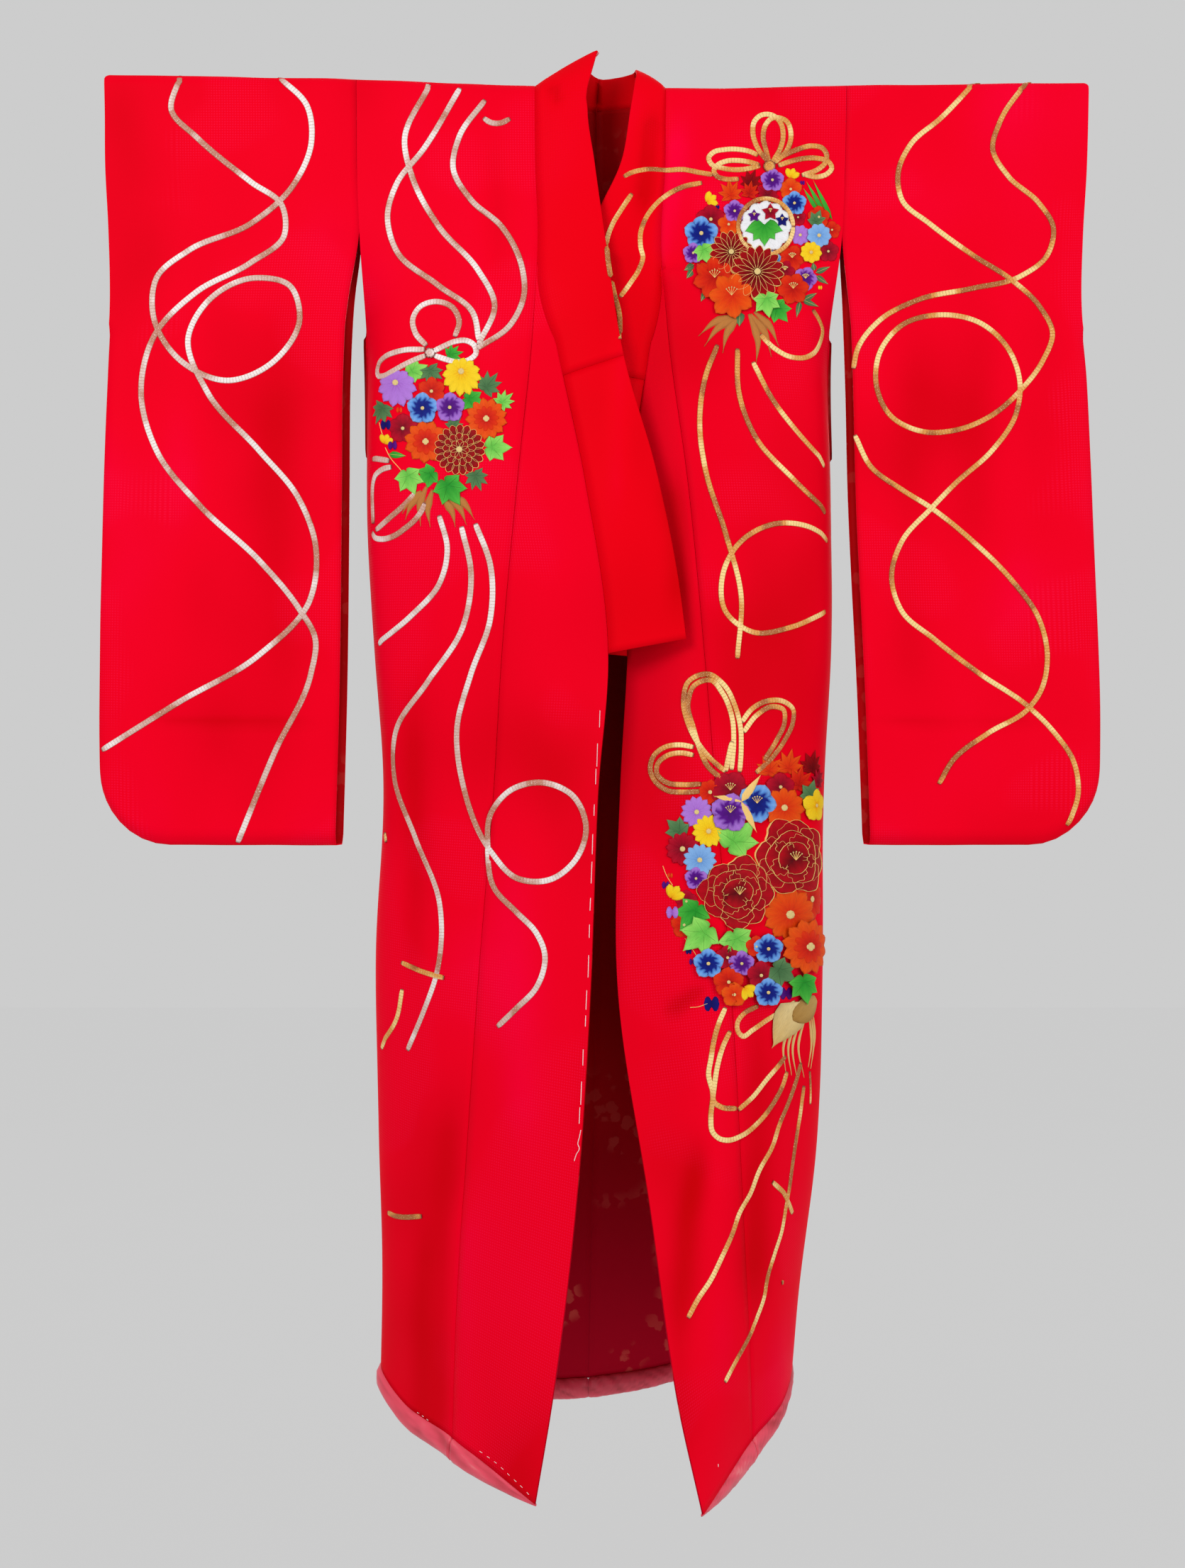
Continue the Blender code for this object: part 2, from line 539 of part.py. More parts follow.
def cut_neckband(surface):
    """The band's net: each seam point has a row of points out to the band's free edge."""
    right, nape, left = neck_seam()
    seam = right + nape + left
    edges = [np.array(from_table(BAND_EDGE["right"], DROPS[row])[1:]) for row in range(BAND_ROW, -1, -1)]
    edges += nape_edges(len(nape))
    edges += [np.array(from_table(BAND_EDGE["left"], DROPS[row])[1:]) for row in range(BAND_ROW + 1)]
    net = []
    for station, (name, edge) in enumerate(zip(seam, edges)):
        start = np.array(surface.spots[surface.names[name]])
        height = max(0.0, min(1.0, 1 + start[2] / BAND_TURN))
        swell = BAND_SWELL_NECK["right" if start[0] < 0 else "left"] * height
        bow = np.array((0.0, -BAND_SWELL_FRONT * (1 - height), swell))
        line = [name]
        for step in range(1, BAND_STEPS + 1):
            share = step / BAND_STEPS
            spot = ("band", station, step)
            surface.add(spot, start + (edge - start) * share + bow * math.sin(math.pi * share))
            line.append(spot)
        net.append(line)
    collar_steps = BAND_ROW - COLLAR_ROW
    surface.grid("neckband_right", net[:collar_steps + 1])
    surface.grid("over_collar", net[collar_steps:-collar_steps])
    surface.grid("neckband_left", net[-collar_steps - 1:])


def sewn_body():
    surface = Surface()
    for side in SIDES:
        name_fronts(surface, side)
    for side in SIDES:
        name_backs(surface, side)
        cut_body(surface, side)
    cut_neckband(surface)
    surface.settle(front_name("right", 0, SIDE_COL - 1), Vector((0, 0, 1)))
    for side in SIDES:
        surface.level_normals([front_name(side, LAST_ROW, col) for col in range(SIDE_COL + 1)])
        surface.level_normals([back_name(side, LAST_ROW, col) for col in range(CENTRE_COL + 1)])
    return surface


# ---- sleeves --------------------------------------------------------------------------------------
def sleeve_surface(side):
    """A bag: rings from the body out to the cuff, sewn shut below the cuff and along the bottom."""
    table = SLEEVE_EDGES[side]
    surface = Surface()
    top_rows = [drop for drop in DROPS[1:JOIN_ROW + 1]]
    cuff_rows = [CUFF, CUFF + CUFF_CLOSE]
    bottom_rows = [SLEEVE_DROP - up for up in SLEEVE_BOTTOM_ROWS]
    rows = [0.0] + top_rows + cuff_rows + list(SLEEVE_LOWER_ROWS) + bottom_rows + [SLEEVE_DROP]
    open_rows = len(top_rows) + 1
    width = table[0].outer - table[0].inner
    flat = 1 - SLEEVE_CORNER / width
    stations = [(flat * step / SLEEVE_FLAT_STEPS, 0.0) for step in range(SLEEVE_FLAT_STEPS)]
    for angle in SLEEVE_CORNER_ANGLES:
        turn = math.radians(angle)
        stations.append((flat + (1 - flat) * math.sin(turn), SLEEVE_CORNER * (1 - math.cos(turn))))
    last = len(stations) - 1
    cuff_end = CUFF + CUFF_CLOSE
    for station, (share, shortening) in enumerate(stations):
        drop_here = SLEEVE_DROP - shortening
        half_gap = SLEEVE_HALF_GAP_IN + (SLEEVE_HALF_GAP_OUT - SLEEVE_HALF_GAP_IN) * share
        for k, nominal in enumerate(rows):
            drop = nominal
            if nominal > cuff_end:
                drop = cuff_end + (nominal - cuff_end) * (drop_here - cuff_end) / (SLEEVE_DROP - cuff_end)
            edge = from_table(table, drop)
            below = min(1.0, max(0.0, (drop - SLEEVE_JOIN) / (CUFF - SLEEVE_JOIN)))
            gap = half_gap * fold_share(drop)
            if station == 0 and drop <= SLEEVE_JOIN:
                gap = -from_table(FRONT[side], drop).side_y * fold_share(drop)
            gap *= min(1.0, math.sqrt(max(0.0, drop_here - drop) / SLEEVE_BOTTOM_ROWS[0]))
            if k > open_rows and station == last - 1:
                gap *= SLEEVE_EDGE_NARROWING
            shut = k == 0 or k == len(rows) - 1 or (k > open_rows and station == last)
            for face, way in (("front", -1), ("back", 1)):
                start = edge.inner + (SLEEVE_LINING_SHOWS * below if face == "front" else 0.0)
                x = SIDES[side] * (start + (edge.outer - start) * share)
                z = shoulder_rise(x, drop) - drop
                if shut and face == "back":
                    surface.same((face, station, k), ("front", station, k))
                else:
                    surface.add((face, station, k), (x, 0.0 if shut else way * gap, z))
    for face in ("front", "back"):
        surface.grid("bag", [[(face, s, k) for k in range(len(rows))] for s in range(last + 1)])
    surface.settle(("front", 1, 0), Vector((0, 0, 1)))
    return surface


# ---- padded hem -----------------------------------------------------------------------------------
def pad_segment(name, surface, names, heights):
    """A padded roll under a stretch of the hem, with a section under each of the hem's points."""
    mesh = bmesh.new()
    spots = [surface.spots[surface.names[n]] for n in names]
    normals = [surface.normals[surface.names[n]] for n in names]
    rings = []
    for i, (spot, normal) in enumerate(zip(spots, normals)):
        height = heights[0] + (heights[1] - heights[0]) * math.sin(math.pi / 2 * i / (len(spots) - 1))
        step = Vector()
        if i == 0:
            step = (spots[1] - spots[0]).normalized() * (SEAM_GAP / 2)
        if i == len(spots) - 1:
            step = (spots[i - 1] - spots[i]).normalized() * (SEAM_GAP / 2)
        top = math.sin(math.pi / 2 - math.pi / PAD_SIDES)
        ring = []
        for side in range(PAD_SIDES):
            angle = 2 * math.pi * (side + 0.5) / PAD_SIDES
            out = height * PAD_THICKNESS / 2 * math.cos(angle) - PAD_SET_BACK
            down = height / 2 * (1 - math.sin(angle) / top) + SEAM_GAP / 2
            ring.append(mesh.verts.new(spot + step + normal * out - Vector((0, 0, down))))
        rings.append(ring)
    for a, b in zip(rings, rings[1:]):
        bmesh.ops.bridge_loops(mesh, edges=ring_edges(mesh, a) + ring_edges(mesh, b))
    mesh.faces.new(rings[0])
    mesh.faces.new(rings[-1])
    return keep_object(mesh, name, ROSE_SATIN)


def ring_edges(mesh, ring):
    edges = []
    for a, b in zip(ring, ring[1:] + ring[:1]):
        edges.append(mesh.edges.get((a, b)) or mesh.edges.new((a, b)))
    return edges


def hem_pads(surface):
    for side in SIDES:
        height = PAD_HEIGHTS[side]
        fronts = [front_name(side, LAST_ROW, col) for col in range(SIDE_COL + 1)]
        backs = [back_name(side, LAST_ROW, col) for col in range(CENTRE_COL + 1)]
        pad_segment("hem_pad_overlap_" + side, surface, fronts[:SEAM_COL + 1], (height.edge, height.seam))
        pad_segment("hem_pad_front_" + side, surface, fronts[SEAM_COL:], (height.seam, height.side))
        pad_segment("hem_pad_back_" + side, surface, backs, (height.side, height.centre))


# ---- the garment ----------------------------------------------------------------------------------
def build():
    for thing in list(bpy.data.objects):
        bpy.data.objects.remove(thing)
    body = sewn_body()
    lining_end = LINING_DEPTH + LINING
    for side in SIDES:
        cloth_wall("body_" + side, body, ["body_" + side], 0.0, CLOTH, SCARLET_SILK)
        cloth_wall("overlap_" + side, body, ["overlap_" + side], 0.0, CLOTH, SCARLET_SILK)
        cloth_wall("neckband_" + side, body, ["neckband_" + side], 0.0, BAND_CLOTH, SCARLET_SILK)
        panels = ["body_" + side, "overlap_" + side]
        cloth_wall("lining_" + side, body, panels, LINING_DEPTH, lining_end, MADDER_LINING)
        sleeve = sleeve_surface(side)
        cloth_wall("sleeve_" + side, sleeve, ["bag"], 0.0, CLOTH, SCARLET_SILK)
        cloth_wall("sleeve_lining_" + side, sleeve, ["bag"], LINING_DEPTH, lining_end, MADDER_LINING)
    cloth_wall("over_collar", body, ["over_collar"], -COLLAR_PROUD, BAND_CLOTH, SCARLET_SILK)
    hem_pads(body)


build()
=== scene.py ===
"""Uchikake wedding kimono: scarlet silk with couched cords and flower balls, hung from its shoulder line.

Every cloth piece is a fine wall on the form of its solid, with its creases laid in.  The
needlework is given on a chart: centimetres right of the centre line and down from the shoulder
line, as the robe is looked at squarely from in front or behind, and is laid on the cloth from there.
"""
import math
from collections import namedtuple

import bpy
import numpy as np
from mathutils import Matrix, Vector, noise
from mathutils.bvhtree import BVHTree


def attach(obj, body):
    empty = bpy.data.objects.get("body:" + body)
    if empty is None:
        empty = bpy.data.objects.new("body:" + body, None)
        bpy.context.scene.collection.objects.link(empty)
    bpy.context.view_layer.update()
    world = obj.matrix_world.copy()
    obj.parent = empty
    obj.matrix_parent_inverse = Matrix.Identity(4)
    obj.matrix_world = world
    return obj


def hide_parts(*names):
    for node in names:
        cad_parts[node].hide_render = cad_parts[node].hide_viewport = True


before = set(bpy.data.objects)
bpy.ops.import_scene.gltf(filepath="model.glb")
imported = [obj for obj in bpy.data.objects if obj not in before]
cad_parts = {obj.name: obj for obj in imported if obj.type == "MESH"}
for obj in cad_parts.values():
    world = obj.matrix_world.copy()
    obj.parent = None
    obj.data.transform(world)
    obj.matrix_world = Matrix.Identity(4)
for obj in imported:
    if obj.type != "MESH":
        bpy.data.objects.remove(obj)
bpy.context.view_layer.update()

# ---- sizes of the garment, in metres -------------------------------------------------------------
CLOTH = 0.0015
BAND_CLOTH = 0.0030
COLLAR_PROUD = 0.0008
LINING = 0.0010
LINING_DEPTH = 0.0020
SEAM_GAP = 0.0003
SEAM_DIP = 0.0010         # how far the cloth sinks at a seam
SHOULDER_FOLD = 0.016
SLEEVE_JOIN = 0.210
OVERLAP_TOP = 0.2635
SIDE_SEAM_TOP = 0.340
COLLAR_END = 0.410
BAND_END = 0.775
HEM = 1.800
OVERLAP_TIP = 0.0012
TIP_OPENS = 0.100         # the overlap comes to its full width over this drop
HEM_SWING = 3
SLEEVE_DROP = 1.034
SLEEVE_CORNER = 0.100
CUFF = 0.335
CUFF_CLOSE = 0.015
SLEEVE_HALF_GAP_IN = 0.016
SLEEVE_HALF_GAP_OUT = 0.011
SLEEVE_LINING_SHOWS = 0.007
SLEEVE_BOTTOM = 0.015     # the bag closes over this height
SLEEVE_EDGE = 0.013       # and over this width at its sewn edge
PAD_THICKNESS = 0.60
PAD_SET_BACK = 0.0035
PAD_SIDES = 20
RISE_FADE = 0.90
BAND_TURN = 0.060
BAND_SWELL_FRONT = 0.003
BAND_SWELL_NECK = 0.003
BACK_NECK = 0.015         # the back neckline lies at this drop
NET = 0.0095              # spacing of the fine nets
CREASE_FULL_SHADE = 0.003         # a crease this high has its full painted tone: shade in a trough, light on a ridge
PUCKER_STEP = 0.0035      # spacing of the hem roll's rings
ROLL_GIRTH = 0.08         # width of the satin round the roll
EYE_DISTANCE = 2.8        # the chart's eye stands this far off
FRAME_HEIGHT = 2.1257     # what the camera takes in at the garment

SIDES = {"right": -1.0, "left": 1.0}
EYES = {"front": Vector((-0.0053, -EYE_DISTANCE, -0.951)), "back": Vector((-0.0053, EYE_DISTANCE, -0.951))}

def table(kind, rows):
    """Rows of numbers under the names of their columns."""
    return tuple(kind(*row) for row in rows)


# height of the shoulder line above the origin, along the garment
ShoulderPoint = namedtuple("ShoulderPoint", "x rise")
SHOULDER_LINE = table(ShoulderPoint, (
    (-0.68, 0.01), (-0.49, 0.007), (-0.36, 0.005), (-0.2, -0.002), (-0.087, -0.005), (0.105, -0.009),
    (0.18, -0.009), (0.26, -0.006), (0.33, -0.005), (0.5, -0.003), (0.68, -0.001),
))

# plan of the fronts: free edge, overlap seam, middle of the panel, turn of the hip, side seam
FrontSection = namedtuple("FrontSection", "drop edge edge_y seam seam_y mid mid_y turn turn_y side side_y")
FRONT = {
    "right": table(FrontSection, (
        (0.0, 0.083, -0.016, 0.083, -0.016, 0.16, -0.016, 0.25, -0.016, 0.324, -0.016),
        (0.05, 0.0826, -0.024, 0.0826, -0.024, 0.16, -0.022, 0.25, -0.019, 0.3235, -0.016),
        (0.12, 0.0816, -0.036, 0.0816, -0.036, 0.16, -0.031, 0.25, -0.023, 0.323, -0.0165),
        (0.21, 0.078, -0.053, 0.078, -0.053, 0.165, -0.044, 0.255, -0.029, 0.3195, -0.0175),
        (0.34, 0.058, -0.076, 0.0835, -0.075, 0.19, -0.062, 0.285, -0.03, 0.3125, 0.003),
        (0.55, 0.015, -0.1, 0.1035, -0.098, 0.205, -0.08, 0.302, -0.03, 0.311, 0.028),
        (0.775, -0.015, -0.112, 0.124, -0.094, 0.215, -0.066, 0.295, -0.015, 0.301, 0.05),
        (0.95, -0.002, -0.128, 0.135, -0.085, 0.215, -0.052, 0.286, 0.0, 0.287, 0.066),
        (1.2, 0.0085, -0.15, 0.155, -0.082, 0.236, -0.04, 0.3, 0.02, 0.294, 0.085),
        (1.45, 0.026, -0.168, 0.173, -0.08, 0.245, -0.03, 0.298, 0.032, 0.286, 0.102),
        (1.7, 0.06, -0.184, 0.187, -0.08, 0.255, -0.02, 0.295, 0.045, 0.278, 0.118),
        (1.8, 0.079, -0.19, 0.19, -0.08, 0.257, -0.012, 0.298, 0.055, 0.277, 0.125),
    )),
    "left": table(FrontSection, (
        (0.0, 0.0935, -0.016, 0.0935, -0.016, 0.17, -0.016, 0.26, -0.016, 0.337, -0.016),
        (0.05, 0.093, -0.02, 0.093, -0.02, 0.17, -0.02, 0.26, -0.019, 0.3365, -0.016),
        (0.12, 0.0915, -0.03, 0.0915, -0.03, 0.17, -0.029, 0.26, -0.023, 0.335, -0.0165),
        (0.21, 0.0855, -0.045, 0.0855, -0.045, 0.175, -0.042, 0.265, -0.029, 0.331, -0.0175),
        (0.34, 0.0735, -0.06, 0.0935, -0.066, 0.195, -0.062, 0.29, -0.032, 0.316, 0.003),
        (0.55, 0.045, -0.062, 0.12, -0.085, 0.212, -0.078, 0.305, -0.03, 0.319, 0.028),
        (0.775, 0.041, -0.058, 0.141, -0.096, 0.228, -0.076, 0.311, -0.018, 0.318, 0.048),
        (0.95, 0.031, -0.075, 0.155, -0.105, 0.238, -0.072, 0.305, -0.006, 0.308, 0.062),
        (1.2, 0.0275, -0.102, 0.175, -0.101, 0.25, -0.055, 0.306, 0.01, 0.303, 0.08),
        (1.45, 0.067, -0.143, 0.19, -0.095, 0.257, -0.04, 0.303, 0.028, 0.291, 0.1),
        (1.7, 0.109, -0.195, 0.203, -0.09, 0.25, -0.028, 0.278, 0.044, 0.265, 0.12),
        (1.8, 0.134, -0.22, 0.206, -0.081, 0.25, -0.02, 0.27, 0.05, 0.257, 0.13),
    )),
}

# plan of the back: side seam, quarter, under the neck point; the centre has its own table
BackSection = namedtuple("BackSection", "drop side side_y quarter quarter_y neck neck_y")
BACK = {
    "right": table(BackSection, (
        (0.0, 0.324, 0.016, 0.2, 0.016, 0.083, 0.016), (0.05, 0.3235, 0.016, 0.2, 0.022, 0.083, 0.03),
        (0.12, 0.323, 0.0165, 0.2, 0.03, 0.083, 0.045), (0.21, 0.3195, 0.0175, 0.2, 0.038, 0.083, 0.056),
        (0.34, 0.3125, 0.003, 0.2, 0.046, 0.083, 0.066), (0.55, 0.311, 0.028, 0.185, 0.066, 0.083, 0.078),
        (0.775, 0.301, 0.05, 0.175, 0.082, 0.083, 0.086), (0.95, 0.287, 0.066, 0.165, 0.094, 0.083, 0.094),
        (1.2, 0.294, 0.085, 0.16, 0.118, 0.08, 0.112), (1.45, 0.286, 0.102, 0.15, 0.138, 0.078, 0.128),
        (1.7, 0.278, 0.118, 0.145, 0.156, 0.072, 0.146), (1.8, 0.277, 0.125, 0.143, 0.162, 0.07, 0.152),
    )),
    "left": table(BackSection, (
        (0.0, 0.337, 0.016, 0.21, 0.016, 0.0935, 0.016), (0.05, 0.3365, 0.016, 0.21, 0.022, 0.0925, 0.03),
        (0.12, 0.335, 0.0165, 0.21, 0.03, 0.0915, 0.045), (0.21, 0.331, 0.0175, 0.205, 0.038, 0.09, 0.056),
        (0.34, 0.316, 0.003, 0.2, 0.046, 0.088, 0.066), (0.55, 0.319, 0.028, 0.19, 0.066, 0.085, 0.078),
        (0.775, 0.318, 0.048, 0.18, 0.082, 0.083, 0.086), (0.95, 0.308, 0.062, 0.17, 0.094, 0.083, 0.094),
        (1.2, 0.303, 0.08, 0.165, 0.118, 0.08, 0.112), (1.45, 0.291, 0.1, 0.155, 0.138, 0.075, 0.128),
        (1.7, 0.265, 0.12, 0.145, 0.158, 0.065, 0.148), (1.8, 0.257, 0.13, 0.14, 0.166, 0.062, 0.155),
    )),
}

CentreBack = namedtuple("CentreBack", "drop x y")
CENTRE_BACK = table(CentreBack, (
    (0.0, 0.0, 0.061), (0.05, 0.0, 0.064), (0.34, 0.0, 0.073),
    (0.95, 0.0, 0.088), (1.45, -0.004, 0.116), (1.8, -0.0115, 0.14),
))

# how far below (+) or above (-) the level hem row the cloth ends, at the named places
HemSwing = namedtuple("HemSwing", "edge seam mid turn side quarter neck centre")
HEM_LINE = {
    "right": HemSwing(0.061, 0.012, -0.01, -0.046, -0.043, -0.016, 0.0, -0.005),
    "left": HemSwing(0.0635, 0.014, -0.016, -0.05, -0.05, -0.024, -0.011, -0.005),
}

# height of the padded roll at the named places of the hem
PadHeight = namedtuple("PadHeight", "edge seam side centre")
PAD_HEIGHTS = {
    "right": PadHeight(0.004, 0.031, 0.03, 0.028),
    "left": PadHeight(0.004, 0.031, 0.014, 0.028),
}

# free edge of the neckband, at the same drops as the neck seam that it is sewn to
BandEdge = namedtuple("BandEdge", "drop x y z")
BAND_EDGE = {
    "right": table(BandEdge, (
        (0.0, 0.001, -0.01, 0.04), (0.004, -0.004, -0.021, 0.018),
        (0.015, -0.011, -0.03, -0.01), (0.05, -0.012, -0.036, -0.048),
        (0.12, -0.003, -0.046, -0.118), (0.2635, 0.012, -0.073, -0.232),
        (0.41, 0.0357, -0.093, -0.389), (0.55, 0.0765, -0.106, -0.535),
        (0.68, 0.105, -0.112, -0.672), (0.775, 0.117, -0.113, -0.762),
    )),
    "left": table(BandEdge, (
        (0.0, 0.053, 0.01, 0.02), (0.004, 0.054, -0.004, 0.012),
        (0.015, 0.052, -0.017, -0.004), (0.05, 0.046, -0.028, -0.042),
        (0.12, 0.034, -0.038, -0.115), (0.21, -0.002, -0.047, -0.198),
        (0.2635, -0.012, -0.051, -0.242), (0.41, -0.026, -0.056, -0.4),
        (0.55, -0.045, -0.056, -0.55), (0.68, -0.053, -0.053, -0.68), (0.775, -0.06, -0.05, -0.772),
    )),
}

# free edge round the back of the neck, from the right shoulder to the left
NapeEdge = namedtuple("NapeEdge", "x y z")
NAPE_EDGE = table(NapeEdge, (
    (0.003, 0.008, 0.044), (-0.004, 0.03, 0.043), (-0.012, 0.058, 0.036),
    (0.005, 0.073, 0.028), (0.03, 0.066, 0.028), (0.048, 0.044, 0.026), (0.052, 0.026, 0.023),
))

# sleeves: the edge towards the body and the outer edge, by drop
SleeveEdge = namedtuple("SleeveEdge", "drop inner outer")
SLEEVE_EDGES = {
    "right": table(SleeveEdge, (
        (0.0, 0.324, 0.665), (0.05, 0.3235, 0.664), (0.12, 0.323, 0.6635),
        (0.21, 0.3195, 0.659), (0.3, 0.3295, 0.657), (0.4, 0.3345, 0.661),
        (0.55, 0.336, 0.667), (0.84, 0.3395, 0.673), (1.034, 0.345, 0.671),
    )),
    "left": table(SleeveEdge, (
        (0.0, 0.337, 0.665), (0.05, 0.3365, 0.664), (0.12, 0.335, 0.662),
        (0.21, 0.331, 0.657), (0.3, 0.335, 0.655), (0.4, 0.3385, 0.663),
        (0.55, 0.342, 0.67), (0.84, 0.3555, 0.682), (1.034, 0.3625, 0.679),
    )),
}

def shares(steps):
    """Even shares of a span, with one more close to each seam."""
    close = 0.07 / steps
    return [close] + [step / steps for step in range(1, steps)] + [1 - close, 1.0]


OVERLAP_SHARES = shares(14)
PANEL_SHARES = shares(27)
NAPE_SHARES = shares(8)
SEAM_COL = len(OVERLAP_SHARES)
SIDE_COL = SEAM_COL + len(PANEL_SHARES)
NECK_COL = len(PANEL_SHARES)
CENTRE_COL = NECK_COL + len(NAPE_SHARES)
BAND_STEPS = 12


def rows_through(keys):
    """Drops of the net's rows, with one on every key drop."""
    drops = [keys[0]]
    for upper, lower in zip(keys, keys[1:]):
        count = max(1, round((lower - upper) / NET))
        drops += [upper + (lower - upper) * step / count for step in range(1, count + 1)]
    return drops


FOLD_ROWS = (0.0, 0.0008, 0.002, 0.004, 0.007, 0.011, BACK_NECK, 0.020)
DROPS = rows_through(FOLD_ROWS + (SLEEVE_JOIN, OVERLAP_TOP, SIDE_SEAM_TOP, COLLAR_END, BAND_END, HEM))


def row_at(drop):
    return int(np.argmin([abs(value - drop) for value in DROPS]))


LAST_ROW = len(DROPS) - 1
NECK_ROW = row_at(BACK_NECK)
JOIN_ROW = row_at(SLEEVE_JOIN)
TIP_ROW = row_at(OVERLAP_TOP)
SIDE_ROW = row_at(SIDE_SEAM_TOP)
COLLAR_ROW = row_at(COLLAR_END)
BAND_ROW = row_at(BAND_END)


# ---- the sewn surface ------------------------------------------------------------------------------
def smooth(knots, values, at):
    """Point on the cubic that runs through the values at the knots, with centred slopes."""
    knots = np.asarray(knots, dtype=float)
    values = np.asarray(values, dtype=float)
    last = len(knots) - 1
    i = int(np.clip(np.searchsorted(knots, at) - 1, 0, last - 1))

    def slope(k):
        if k == 0 or k == last:
            a = min(k, last - 1)
            return (values[a + 1] - values[a]) / (knots[a + 1] - knots[a])
        before = knots[k] - knots[k - 1]
        after = knots[k + 1] - knots[k]
        rise = (values[k] - values[k - 1]) / before * after + (values[k + 1] - values[k]) / after * before
        return rise / (before + after)

    span = knots[i + 1] - knots[i]
    t = (at - knots[i]) / span
    start = (2 * t ** 3 - 3 * t ** 2 + 1) * values[i] + (t ** 3 - 2 * t ** 2 + t) * span * slope(i)
    return start + (3 * t ** 2 - 2 * t ** 3) * values[i + 1] + (t ** 3 - t ** 2) * span * slope(i + 1)


def lengths_along(points, least=0.0):
    """How far along a run of points each one lies."""
    lengths = [0.0]
    for a, b in zip(points, points[1:]):
        lengths.append(lengths[-1] + max(least, float(np.linalg.norm(b - a))))
    return lengths


def from_table(rows, drop):
    return type(rows[0])(drop, *smooth([row.drop for row in rows], [row[1:] for row in rows], drop))


def shoulder_rise(x, drop):
    line = np.interp(x, [point.x for point in SHOULDER_LINE], [point.rise for point in SHOULDER_LINE])
    return line * max(0.0, 1 - drop / RISE_FADE)


def fold_share(drop):
    if drop >= SHOULDER_FOLD:
        return 1.0
    return math.sqrt(1 - (1 - drop / SHOULDER_FOLD) ** 2)


def place(side, out, y, drop, swing):
    x = SIDES[side] * out
    z = shoulder_rise(x, drop) - drop - swing * (drop / HEM) ** HEM_SWING
    return np.array((x, y * fold_share(drop), z))


def along(points, stops, spans):
    """Points on the curve through the named places, at the shares of each span between two stops."""
    chords = lengths_along(points)
    found = [smooth(chords, points, chords[stops[0]])]
    for first, last, span in zip(stops, stops[1:], spans):
        found += [smooth(chords, points, chords[first] + (chords[last] - chords[first]) * s) for s in span]
    return found


def placed(side, drop, section, names):
    """The named places of a section, each let down by its share of the hem's swing."""
    swing = HEM_LINE[side]
    return [place(side, getattr(section, name), getattr(section, name + "_y"), drop, getattr(swing, name))
            for name in names]


def front_row(side, drop):
    front = from_table(FRONT[side], drop)
    panel = placed(side, drop, front, ("seam", "mid", "turn", "side"))
    if drop < OVERLAP_TOP:
        return [panel[0]] * SEAM_COL + along(panel, (0, 3), (PANEL_SHARES,))
    opening = min(1.0, (drop - OVERLAP_TOP) / TIP_OPENS)
    edge = front.seam - max(OVERLAP_TIP, (front.seam - front.edge) * opening)
    whole = placed(side, drop, front._replace(edge=edge), ("edge",)) + panel
    if drop >= SIDE_SEAM_TOP:
        whole += placed(side, drop, from_table(BACK[side], drop), ("quarter",))
    return along(whole, (0, 1, 4), (OVERLAP_SHARES, PANEL_SHARES))


def back_row(side, drop):
    panel = placed(side, drop, from_table(BACK[side], drop), ("side", "quarter", "neck"))
    if drop < BACK_NECK:
        return along(panel, (0, 2), (PANEL_SHARES,))
    middle = from_table(CENTRE_BACK, drop)
    panel.append(place(side, SIDES[side] * middle.x, middle.y, drop, HEM_LINE[side].centre))
    if drop < SIDE_SEAM_TOP:
        return along(panel, (0, 2, 3), (PANEL_SHARES, NAPE_SHARES))
    turn = placed(side, drop, from_table(FRONT[side], drop), ("turn",))
    return along(turn + panel, (1, 3, 4), (PANEL_SHARES, NAPE_SHARES))


class Surface:
    """Sewn surface that pieces are cut from: its points, its faces, and where each corner lies on the cut."""

    def __init__(self):
        self.spots = []
        self.names = {}
        self.faces = {}
        self.cuts = {}
        self.dips = set()

    def add(self, name, point):
        self.names[name] = len(self.spots)
        self.spots.append(np.array(point, dtype=float))

    def same(self, name, other):
        self.names[name] = self.names[other]

    def at(self, name):
        return self.spots[self.names[name]]

    def grid(self, piece, net, drops, turned=False):
        """Adds the faces of a net of names, facing out; u runs along a row in metres and v is the drop."""
        faces = self.faces.setdefault(piece, [])
        cuts = self.cuts.setdefault(piece, [])
        runs = [lengths_along([self.at(name) for name in row]) for row in net]
        for r in range(len(net) - 1):
            for c in range(len(net[0]) - 1):
                corners = []
                for i, j in ((r, c), (r, c + 1), (r + 1, c + 1), (r + 1, c)):
                    corners.append((self.names[net[i][j]], (runs[i][j], drops[i])))
                kept = [corner for k, corner in enumerate(corners) if corner[0] != corners[k - 1][0]]
                if turned:
                    kept.reverse()
                if len(kept) > 2:
                    faces.append([corner[0] for corner in kept])
                    cuts.append([corner[1] for corner in kept])

    def level(self):
        """Normals of all points, from the faces round them."""
        points = np.array(self.spots)
        normals = np.zeros_like(points)
        for loops in self.faces.values():
            for loop in loops:
                a, b, c = points[loop[0]], points[loop[1]], points[loop[2]]
                d = points[loop[-1]]
                face = np.cross(c - a, d - b) if len(loop) == 4 else np.cross(b - a, c - a)
                for i in loop:
                    normals[i] += face
        lengths = np.linalg.norm(normals, axis=1)
        lengths[lengths < 1e-12] = 1.0
        self.normals = normals / lengths[:, None]

    def settle(self):
        """Gives the points their normals and lays in the creases."""
        self.level()
        self.folds = relief(np.array(self.spots), self.normals)
        dips = np.zeros(len(self.spots))
        dips[sorted(self.dips)] = SEAM_DIP
        points = np.array(self.spots) + self.normals * (self.folds - dips)[:, None]
        self.spots = list(points)


